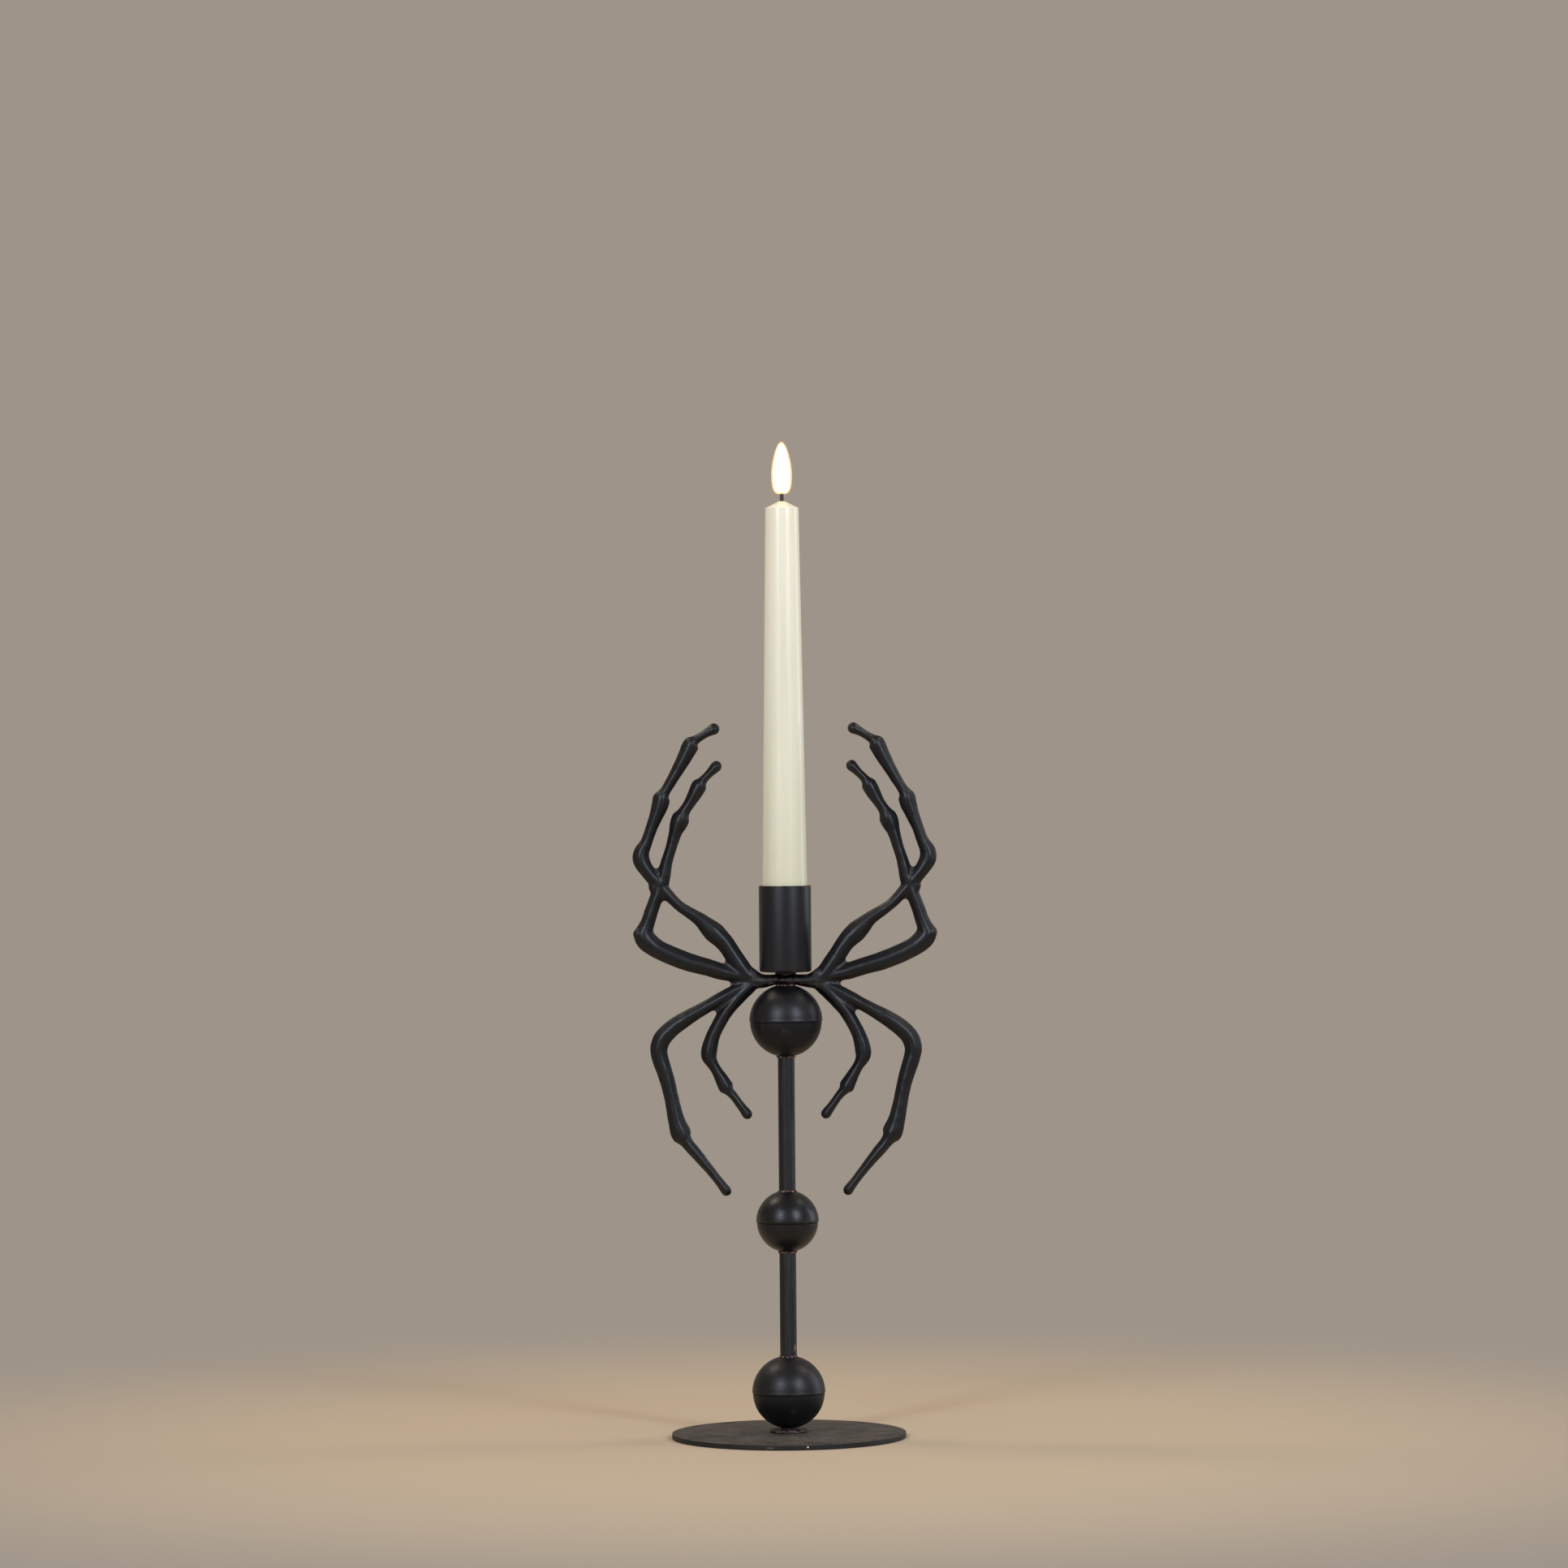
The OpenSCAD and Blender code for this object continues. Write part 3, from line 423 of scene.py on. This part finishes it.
# Places of each leg from the bridge to its tip: the shares of its reach, of its rise or drop and of
# its width
upper_outer_shares = [
    (0.10, 0.000, 0.55), (0.22, 0.001, 0.62), (0.26, 0.020, 0.88), (0.30, 0.047, 1.02),
    (0.355, 0.093, 1.02), (0.405, 0.138, 1.02), (0.445, 0.165, 1.10), (0.495, 0.192, 1.19),
    (0.54, 0.216, 1.03), (0.60, 0.247, 0.78), (0.72, 0.292, 0.62), (0.80, 0.336, 0.66),
    (0.885, 0.392, 0.80), (0.955, 0.440, 0.86), (0.995, 0.482, 0.98), (0.990, 0.516, 0.90),
    (0.958, 0.552, 0.70), (0.925, 0.604, 0.68), (0.890, 0.655, 0.80), (0.862, 0.698, 0.97),
    (0.850, 0.728, 0.99), (0.838, 0.744, 0.72), (0.822, 0.758, 0.60), (0.794, 0.784, 0.62),
    (0.741, 0.836, 0.71), (0.690, 0.888, 0.85), (0.657, 0.926, 0.95), (0.636, 0.947, 0.92),
    (0.618, 0.957, 0.58), (0.590, 0.967, 0.50), (0.540, 0.985, 0.50), (0.485, 1.002, 0.68)]
upper_inner_shares = [
    (0.10, -0.002, 0.5), (0.20, -0.002, 0.56), (0.29, 0.013, 0.68), (0.43, 0.032, 0.95),
    (0.54, 0.052, 0.99), (0.67, 0.073, 1.06), (0.79, 0.100, 1.08), (0.89, 0.128, 1.09),
    (0.957, 0.158, 1.19), (0.981, 0.184, 1.15), (0.969, 0.208, 0.93), (0.951, 0.235, 0.82),
    (0.930, 0.272, 0.79), (0.903, 0.315, 0.77), (0.872, 0.357, 0.79), (0.845, 0.402, 0.81),
    (0.830, 0.445, 0.75), (0.811, 0.487, 0.67), (0.781, 0.541, 0.66), (0.757, 0.590, 0.77),
    (0.735, 0.623, 1.01), (0.717, 0.649, 1.03), (0.701, 0.667, 0.76), (0.683, 0.685, 0.66),
    (0.656, 0.708, 0.67), (0.625, 0.738, 0.80), (0.600, 0.765, 0.89), (0.584, 0.781, 0.86),
    (0.568, 0.794, 0.58), (0.549, 0.807, 0.50), (0.514, 0.827, 0.50), (0.470, 0.853, 0.66)]
lower_outer_shares = [
    (0.10, 0.000, 0.5), (0.20, 0.004, 0.57), (0.29, 0.030, 0.64), (0.40, 0.070, 0.80),
    (0.517, 0.113, 0.75), (0.597, 0.143, 0.77), (0.681, 0.176, 0.88), (0.757, 0.209, 0.97),
    (0.820, 0.244, 1.00), (0.864, 0.281, 1.03), (0.883, 0.325, 1.00), (0.874, 0.368, 0.96),
    (0.849, 0.422, 0.92), (0.822, 0.483, 0.87), (0.801, 0.546, 0.84), (0.781, 0.614, 0.89),
    (0.761, 0.671, 1.00), (0.739, 0.715, 1.16), (0.723, 0.739, 1.10), (0.707, 0.755, 0.82),
    (0.680, 0.780, 0.71), (0.628, 0.822, 0.67), (0.564, 0.874, 0.57), (0.490, 0.938, 0.51),
    (0.449, 0.974, 0.55), (0.423, 0.998, 0.61)]
lower_inner_shares = [
    (0.10, 0.000, 0.5), (0.19, 0.008, 0.57), (0.26, 0.036, 0.82), (0.333, 0.083, 0.85),
    (0.409, 0.144, 0.79), (0.465, 0.206, 0.78), (0.506, 0.263, 0.81), (0.530, 0.319, 0.92),
    (0.535, 0.360, 0.90), (0.513, 0.394, 0.68), (0.486, 0.424, 0.62), (0.455, 0.461, 0.74),
    (0.423, 0.501, 0.87), (0.411, 0.513, 0.82), (0.396, 0.527, 0.58), (0.365, 0.550, 0.50),
    (0.322, 0.591, 0.50), (0.294, 0.616, 0.55), (0.274, 0.635, 0.61)]
# The bridge from the middle to its end: the share of its reach, the shares of its height for its
# level and its height, and the share of its depth
bridge_shares = [
    (-0.10, 0.06, 0.98, 1.00), (0.20, 0.06, 0.98, 1.00), (0.41, -0.03, 1.12, 0.97),
    (0.59, -0.10, 1.28, 0.90), (0.71, -0.09, 1.46, 0.84), (0.85, 0.01, 1.80, 0.75),
    (1.00, 0.16, 2.18, 0.66)]
# A round knob on the outer side of the elbow, and the web where the two upper legs cross: the shares
# of the leg's reach and rise, of its width and of a ball's depth
knob_shares = [(1.014, 0.186, 0.70, 1.0), (0.886, 0.374, 1.0, 0.66)]


def between(rows, place):
    """The row at a place along the rows, on a smooth curve through them."""
    i = min(int(place), len(rows) - 2)
    s = place - i
    a, b, c, d = (rows[max(0, min(k, len(rows) - 1))] for k in range(i - 1, i + 3))
    return [q + s * ((r - p) + s * (2 * p - 5 * q + 4 * r - t + s * (3 * q - p - 3 * r + t))) / 2
            for p, q, r, t in zip(a, b, c, d)]


def cast_bar(casting, rows, width_share, depth_share, steps=3, sides=18):
    """Adds a bar of elliptical section, a circle extruded from ring to ring, with a round end."""
    last = (len(rows) - 1) * steps
    rings = [between(rows, k / steps) for k in range(last + 1)]
    places = [Vector((x, 0, z)) for x, z, _, _ in rings]
    ways = [(places[min(k + 1, last)] - places[max(k - 1, 0)]).normalized() for k in range(last + 1)]
    sections = [(place, way, w * width_share / 2, d * depth_share / 2)
                for (_, _, w, d), place, way in zip(rings, places, ways)]
    place, way, half_w, half_d = sections[-1]
    for a in (math.radians(degrees) for degrees in (25, 48, 68, 82)):
        end = place + way * half_w * math.sin(a)
        sections.append((end, way, half_w * math.cos(a), half_d * math.cos(a)))
    bar = bmesh.new()
    before = None
    for place, way, half_w, half_d in sections:
        across = Vector((-way.z, 0, way.x)) * half_w
        now = Matrix((across, Vector((0, half_d, 0)), way)).transposed().to_4x4()
        now.translation = place
        if before is None:
            bmesh.ops.create_circle(bar, cap_ends=True, segments=sides, radius=1, matrix=now)
            ring = bar.edges[:]
        else:
            made = bmesh.ops.extrude_edge_only(bar, edges=ring)
            points = [g for g in made["geom"] if isinstance(g, bmesh.types.BMVert)]
            ring = [g for g in made["geom"] if isinstance(g, bmesh.types.BMEdge)]
            bmesh.ops.transform(bar, matrix=now @ before.inverted(), verts=points)
        before = now
    bmesh.ops.contextual_create(bar, geom=ring)
    bmesh.ops.recalc_face_normals(bar, faces=bar.faces)
    add_to(casting, bar)


def leg_rows(shares, rise):
    """Places, width and depth along a leg. Its depth changes less than its width."""
    width_part = 1 - thin_depth_share
    return [(x * leg_reach, hub_z + z * rise, w * leg_w, leg_depth * (thin_depth_share + width_part * w))
            for x, z, w in shares]


casting = bmesh.new()
legs = [leg_rows(upper_outer_shares, leg_rise), leg_rows(upper_inner_shares, leg_rise),
        leg_rows(lower_outer_shares, -leg_drop), leg_rows(lower_inner_shares, -leg_drop)]
for rows in legs:
    cast_bar(casting, rows, *flank_shares)
    cast_bar(casting, rows, *ridge_shares)
bridge_rows = [(x * bridge_reach, hub_z + z * bridge_t, w * bridge_t, d * bridge_depth)
               for x, z, w, d in bridge_shares]
cast_bar(casting, bridge_rows, width_share=1.0, depth_share=1.0)
for x, z, w, d in knob_shares:
    spot = Matrix.Translation((x * leg_reach, 0, hub_z + z * leg_rise)) @ Matrix.Diagonal((1, d, 1, 1))
    bmesh.ops.create_uvsphere(casting, u_segments=20, v_segments=12, radius=w * leg_w / 2, matrix=spot)
bmesh.ops.create_uvsphere(
    casting, u_segments=48, v_segments=24, radius=boss_r,
    matrix=Matrix.Translation((0, 0, hub_z)) @ Matrix.Diagonal((1, 1, 0.5 * bridge_t / boss_r, 1)))

iron = Finish("cast_black_iron", {"Specular IOR Level": 0.4})
iron_cloud = iron.grain(5 * mm, 5)
iron_dents = iron.grain(3 * mm, 1)
crevice = 1 - iron.fade(iron.node("NewGeometry", {}, {}, "Pointiness"), 0.44, 0.488)
off_parting = iron.node("Math", {"operation": "ABSOLUTE"}, {0: iron.along("Y")})
parting = 1 - iron.fade(off_parting, 0.3 * mm, 1.1 * mm)
rust_noise = iron.fade(iron.grain(2.8 * mm, 2), 0.38, 0.66)
near_hub = iron.near((0, 0, hub_z), 9 * mm, 26 * mm)
rust = rust_noise * (0.9 * crevice + 0.75 * parting + 0.55 * near_hub)
rust = iron.fade(rust, 0.12, 0.85)
black = iron.mix(iron.fade(iron_cloud, 0.35, 0.7), tone(5, 7, 12), tone(12, 12, 16))
brown = iron.mix(iron.fade(iron.grain(1.1 * mm, 3), 0.4, 0.65), tone(48, 35, 31), tone(104, 78, 68))
iron.feed("Base Color", iron.mix(rust, black, brown))
iron.feed("Roughness", 0.36 + 0.1 * iron_cloud + 0.25 * rust)
iron.bump(iron_dents + 0.3 * rust, 0.09 * mm)

rough_casting = finished("rough_casting", casting, iron)
mirror = rough_casting.modifiers.new("other_side", "MIRROR")
mirror.use_mirror_merge = False
for swell in (fillet_r, -fillet_r):
    remesh = rough_casting.modifiers.new("one_skin", "REMESH")
    remesh.mode = "VOXEL"
    remesh.voxel_size = voxel
    swollen = rough_casting.modifiers.new("swollen", "DISPLACE")
    swollen.strength = swell
    swollen.mid_level = 0
soften = rough_casting.modifiers.new("soften", "SMOOTH")
soften.factor = 0.5
soften.iterations = 4
bore_mesh = bmesh.new()
bmesh.ops.create_cone(
    bore_mesh, cap_ends=True, segments=64, radius1=screw_hole_r, radius2=screw_hole_r, depth=4 * bridge_t,
    matrix=Matrix.Translation((0, 0, hub_z)))
bore = finished("bore", bore_mesh, iron)
drill = rough_casting.modifiers.new("drill", "BOOLEAN")
drill.object = bore
drill.solver = "EXACT"
bpy.context.view_layer.update()
skin = bpy.data.meshes.new_from_object(rough_casting.evaluated_get(bpy.context.evaluated_depsgraph_get()))
bpy.data.objects.remove(rough_casting)
bpy.data.objects.remove(bore)
uneven = bmesh.new()
uneven.from_mesh(skin)
bpy.data.meshes.remove(skin)
uneven.normal_update()
for v in uneven.verts:
    v.co += v.normal * unevenness * noise.noise(v.co / uneven_size)
spider = finished("spider", uneven, iron, crease=60)
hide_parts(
    "spider_hub", "left_upper_legs", "right_upper_legs", "left_lower_legs", "right_lower_legs")
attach(spider, "holder")

# Cup and spacer
# A drawn cup with a rounded foot, in a fine powder coat, on a small turned spacer. Its rim is bare
# and bright in places where candles have rubbed it.

cup_low, cup_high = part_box("candle_cup")
cup_r = cup_high.x
cup_wall = 1.2 * mm
cup_foot_edge = 1.3 * mm
cup_rim_edge = 0.35 * mm
cup_mouth_edge = 0.25 * mm
cup_floor_edge = 0.5 * mm
cup = turned([
    (screw_hole_r, cup_low.z), (cup_r, cup_low.z, cup_foot_edge), (cup_r, cup_high.z, cup_rim_edge),
    (cup_r - cup_wall, cup_high.z, cup_mouth_edge),
    (cup_r - cup_wall, cup_low.z + cup_wall, cup_floor_edge), (screw_hole_r, cup_low.z + cup_wall)])
powder = Finish("powder_coat", {"Specular IOR Level": 0.42})
powder_cloud = powder.grain(7 * mm, 4)
powder_pores = powder.grain(0.55 * mm, 4)
rim_wear = powder.fade(powder.along("Z"), cup_high.z - 0.45 * mm, cup_high.z - 0.1 * mm)
rim_wear = rim_wear * powder.fade(powder.grain(2.5 * mm, 3), 0.4, 0.6)
foot_wear = 1 - powder.fade(powder.along("Z"), cup_low.z + 0.2 * mm, cup_low.z + 1.6 * mm)
wear = powder.fade(rim_wear + foot_wear * powder.fade(powder.grain(2 * mm, 4), 0.5, 0.7), 0.1, 0.9)
powder_black = powder.mix(powder.fade(powder_pores, 0.35, 0.7), tone(6, 8, 12), tone(14, 15, 20))
powder.feed("Base Color", powder.mix(wear, powder_black, tone(96, 72, 58)))
powder.feed("Roughness", 0.37 + 0.08 * powder_cloud)
powder.bump(powder_pores + powder_cloud, 0.03 * mm)
candle_cup = finished("drawn_cup", cup, powder)
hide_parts("candle_cup")
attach(candle_cup, "holder")
coat_node("cup_spacer", powder)

# Wax
# A sleeve of ivory wax dipped over the moulded tube, with a straight foot, a long taper, a crisp
# shoulder and a shallow cone. Its colour has painted light in it: a paler, warmer painted glow near the
# flame, and painted shade that darkens it at the foot, where it is also a little green.

wax_low, wax_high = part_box("candle_wax")
wax_r = wax_high.x
wax_t = 1 * mm
wax_gap = 0.05 * mm
tube_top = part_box("candle_tube")[1].z
foot_h = 20 * mm
taper_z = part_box("candle_cap")[0].z + foot_h
shoulder_r = 8 * mm
shoulder_z = tube_top + wax_t
flat_r = 1.5 * mm
dimple = 0.1 * mm
foot_edge = 0.2 * mm
shoulder_edge = 0.35 * mm
flat_edge = 0.4 * mm
stem_hole_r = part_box("wick_stem")[1].x + wax_gap
long_h = 20 * mm
foot_shade_and_green_h = 120 * mm
painted_flame_glow_h = 100 * mm
wax_mesh = turned([
    (wax_r, wax_low.z, foot_edge), (wax_r, taper_z), (shoulder_r, shoulder_z, shoulder_edge),
    (flat_r, wax_high.z, flat_edge), (stem_hole_r, wax_high.z - dimple),
    (stem_hole_r, tube_top + wax_gap), (shoulder_r - wax_t, tube_top + wax_gap),
    (wax_r - wax_t, taper_z), (wax_r - wax_t, wax_low.z)])
long_edges = [e for e in wax_mesh.edges if abs(e.verts[0].co.z - e.verts[1].co.z) > long_h]
bmesh.ops.subdivide_edges(wax_mesh, edges=long_edges, cuts=24, use_grid_fill=True)
wax = Finish("ivory_wax", {
    "Subsurface Weight": 0.2, "Subsurface Radius": (1.0, 0.85, 0.5), "Subsurface Scale": 1 * mm,
    "Specular IOR Level": 0.5})
height = wax.along("Z")
flow = wax.grain(3.5 * mm, 3, (1, 1, 0.04))
# Painted shade darkens the foot, which is also a little green; painted glow makes the top paler and
# warmer near the flame.
wax_colour = wax.mix(
    wax.fade(height, wax_low.z, wax_low.z + foot_shade_and_green_h), tone(216, 211, 180), tone(236, 232, 208))
wax_colour = wax.mix(wax.fade(height, shoulder_z - painted_flame_glow_h, wax_high.z), wax_colour, tone(247, 238, 213))
wax_colour = wax.mix(wax.fade(flow, 0.4, 0.7) * 0.4, wax_colour, tone(226, 219, 186))
wax.feed("Base Color", wax_colour)
wax.feed("Roughness", 0.22 + 0.12 * flow)
wax.bump(0.5 * wax.grain(8 * mm, 1, (1, 1, 0.25)) + flow, 0.05 * mm)
candle_wax = finished("wax_sleeve", wax_mesh, wax)
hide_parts("candle_wax")
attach(candle_wax, "candle")

# Wick and flame
# A thin dark stem carries the moulded flame. The flame is a hollow moulding of milky plastic. The
# lamp fills its hollow with white light, and its thin skin glows orange, deeper at the foot.

stem_coat = Finish("stem_coat", {"Roughness": 0.6})
fibres = stem_coat.grain(0.5 * mm, 3, (1, 1, 0.15))
stem_coat.feed(
    "Base Color", stem_coat.mix(stem_coat.fade(fibres, 0.4, 0.7), tone(26, 19, 22), tone(82, 60, 66)))
stem_coat.bump(fibres, 0.06 * mm)
coat_node("wick_stem", stem_coat)

flame_low, flame_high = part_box("flame_diffuser")
flame_r = flame_high.x
# Outline of the flame: shares of its height and of its radius
flame_shares = [
    (0, 0.00), (0.004, 0.34), (0.018, 0.58), (0.05, 0.76), (0.11, 0.88), (0.19, 0.955),
    (0.29, 0.99), (0.39, 1.00), (0.51, 0.96), (0.62, 0.875), (0.73, 0.75), (0.83, 0.60),
    (0.91, 0.44), (0.965, 0.27), (0.992, 0.12), (1.00, 0)]
flame_steps = 3
flame_outline = [between(flame_shares, k / flame_steps)
                 for k in range(flame_steps * (len(flame_shares) - 1) + 1)]
skin_share = 0.90
skin_t = 0.90 * mm
foot_skin_t = 0.3 * skin_t
orange_h = 5 * mm
yellow_h = 4 * mm


def flame_piece(name, r, foot, top, finish):
    """A drop of that greatest radius between two heights, which moves with the candle."""
    points = [(max(share, 0) * r, foot + z * (top - foot)) for z, share in flame_outline]
    drop = finished(name, turned(points, closed=False), finish)
    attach(drop, "candle")
    return drop


skin_glow = Finish("flame_skin", {
    "Roughness": 0.35, "Base Color": tone(120, 84, 44), "Alpha": 0.5, "Emission Strength": 1.0})
climb = skin_glow.along("Z")
foot_glow = 1 - skin_glow.fade(climb, flame_low.z, flame_low.z + orange_h)
skin_glow.feed("Emission Color", skin_glow.mix(foot_glow, tone(255, 220, 160), tone(255, 190, 84)))
flame = flame_piece("moulded_flame", skin_share * flame_r, flame_low.z, flame_high.z, skin_glow)
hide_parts("flame_diffuser")
white_light = Finish("white_light", {"Roughness": 0.5, "Emission Strength": 3.0})
above_foot = white_light.fade(white_light.along("Z"), flame_low.z, flame_low.z + yellow_h)
white_light.feed("Emission Color", white_light.mix(above_foot, tone(255, 226, 160), tone(255, 246, 230)))
flame_piece(
    "flame_light", skin_share * flame_r - skin_t, flame_low.z + foot_skin_t, flame_high.z - skin_t,
    white_light)

# Inside the candle
# The tube, lamp, wires, circuit board, cells and contacts, which nobody sees until the candle is
# pulled out and opened.

moulded = Finish("moulded_ivory", {"Subsurface Weight": 0.1, "Subsurface Scale": 1 * mm})
moulded.feed(
    "Base Color", moulded.mix(moulded.grain(9 * mm, 3), tone(222, 214, 190), tone(236, 230, 210)))
moulded.feed("Roughness", 0.4 + 0.1 * moulded.grain(2 * mm, 3))
moulded.bump(moulded.grain(0.3 * mm, 2), 0.01 * mm)
black_moulding = Finish("black_moulding", {"Base Color": tone(28, 27, 29)})
black_moulding.feed("Roughness", 0.4 + 0.15 * black_moulding.grain(0.8 * mm, 3))
black_moulding.bump(black_moulding.grain(0.25 * mm, 2), 0.01 * mm)
clear_lamp = Finish("clear_lamp", {"Roughness": 0.15, "Emission Strength": 2.0})
lamp_patches = clear_lamp.grain(1 * mm, 2)
clear_lamp.feed(
    "Emission Color", clear_lamp.mix(lamp_patches, tone(255, 214, 150), tone(255, 240, 214)))
copper = Finish("enamelled_copper", {"Metallic": 1.0, "Roughness": 0.3})
copper.feed("Base Color", copper.mix(copper.grain(2 * mm, 3), tone(196, 116, 76), tone(150, 84, 52)))
brass = Finish("contact_brass", {"Metallic": 1.0})
brass.feed("Base Color", brass.mix(brass.grain(3 * mm, 3), tone(214, 180, 110), tone(180, 146, 86)))
brass.feed("Roughness", 0.25 + 0.15 * brass.grain(1 * mm, 3, (1, 1, 0.1)))
board = Finish("circuit_board", {"Specular IOR Level": 0.5, "Roughness": 0.35})
track_cells = board.node(
    "TexVoronoi", {"feature": "DISTANCE_TO_EDGE"}, {"Vector": board.place, "Scale": 500.0})
tracks = board.fade(track_cells, 0.08, 0.12)
board.feed("Base Color", board.mix(tracks, tone(60, 120, 74), tone(22, 84, 48)))
sleeve = Finish("cell_sleeve", {"Specular IOR Level": 0.6})
sleeve.feed("Base Color", sleeve.mix(sleeve.grain(12 * mm, 2), tone(52, 56, 66), tone(66, 70, 80)))
sleeve.feed("Roughness", 0.25 + 0.15 * sleeve.grain(4 * mm, 3))
wire_steel = Finish("spring_steel", {"Metallic": 1.0, "Base Color": tone(190, 192, 196)})
wire_steel.feed("Roughness", 0.22 + 0.12 * wire_steel.grain(1 * mm, 3))
for finish, nodes in (
        (moulded, ("candle_tube", "candle_cap")), (clear_lamp, ("flame_led",)), (copper, ("led_leads",)),
        (board, ("timer_board",)), (black_moulding, ("timer_chip", "switch_body", "switch_knob")),
        (brass, ("board_contact", "return_strip")), (sleeve, ("upper_battery", "lower_battery")),
        (wire_steel, ("cap_spring",))):
    for node in nodes:
        coat_node(node, finish)

# Studio
# A level camera far in front, two tall windows, a side window and two warm lamps high to the sides,
# over a pale floor that fades into a plain wall.

camera_place = (0, -2.785, 0.3127)
camera_roll = math.radians(-0.456)
camera_data = bpy.data.cameras.new("camera")
camera_data.sensor_width = 36
camera_data.lens = 133.6
camera = bpy.data.objects.new("camera", camera_data)
bpy.context.scene.collection.objects.link(camera)
camera.matrix_world = (
    Matrix.Translation(camera_place) @ Matrix.Rotation(math.radians(90), 4, "X")
    @ Matrix.Rotation(camera_roll, 4, "Z"))
bpy.context.scene.camera = camera
bpy.context.scene.view_settings.view_transform = "Standard"

wall_colour = tone(158, 148, 138)
floor_colour = tone(200, 180, 152)
world = bpy.data.worlds.new("studio")
world.use_nodes = True
world.node_tree.nodes["Background"].inputs["Color"].default_value = wall_colour
bpy.context.scene.world = world

floor_r = 4
fade_start = 0.16
fade_end = 0.62
floor_mesh = bmesh.new()
bmesh.ops.create_circle(floor_mesh, cap_ends=True, segments=96, radius=floor_r)
floor_finish = Finish("floor", {"Specular IOR Level": 0.2, "Roughness": 0.7, "Base Color": floor_colour})
far = floor_finish.node("VectorMath", {"operation": "LENGTH"}, {0: floor_finish.place}, "Value")
wall_glow = floor_finish.node("Emission", {}, {"Color": wall_colour, "Strength": 1.0})
blend = floor_finish.node("MixShader", {}, {
    0: floor_finish.fade(far, fade_start, fade_end),
    1: Wire(floor_finish, floor_finish.shader.outputs[0]), 2: wall_glow})
floor_finish.tree.links.new(blend.socket, floor_finish.tree.nodes["Material Output"].inputs["Surface"])
floor = finished("floor", floor_mesh, floor_finish)

aim = Vector((0, 0, 0.25))


def window(name, azimuth, elevation, distance, size, power, colour):
    """An area light that faces the stem. Azimuth 0 is the camera's side, and grows to the right."""
    data = bpy.data.lights.new(name, "AREA")
    data.shape = "RECTANGLE"
    data.size, data.size_y = size
    data.energy = power
    data.color = colour
    lamp = bpy.data.objects.new(name, data)
    bpy.context.scene.collection.objects.link(lamp)
    a, e = math.radians(azimuth), math.radians(elevation)
    away = Vector((math.sin(a) * math.cos(e), -math.cos(a) * math.cos(e), math.sin(e)))
    lamp.location = aim + away * distance
    lamp.rotation_euler = away.to_track_quat("Z", "Y").to_euler()


daylight = (0.76, 0.85, 1.0)
lamplight = (1.0, 0.88, 0.74)
window(
    "left_window", azimuth=-29, elevation=23, distance=2.4, size=(0.36, 1.1), power=29, colour=daylight)
window(
    "right_window", azimuth=37, elevation=23, distance=2.4, size=(0.36, 1.1), power=28, colour=daylight)
window(
    "side_window", azimuth=108, elevation=12, distance=2.2, size=(0.7, 1.6), power=12, colour=daylight)
window(
    "left_lamp", azimuth=-114, elevation=53, distance=2.2, size=(0.5, 0.5), power=9, colour=lamplight)
window(
    "right_lamp", azimuth=102, elevation=53, distance=2.2, size=(0.5, 0.5), power=6, colour=lamplight)
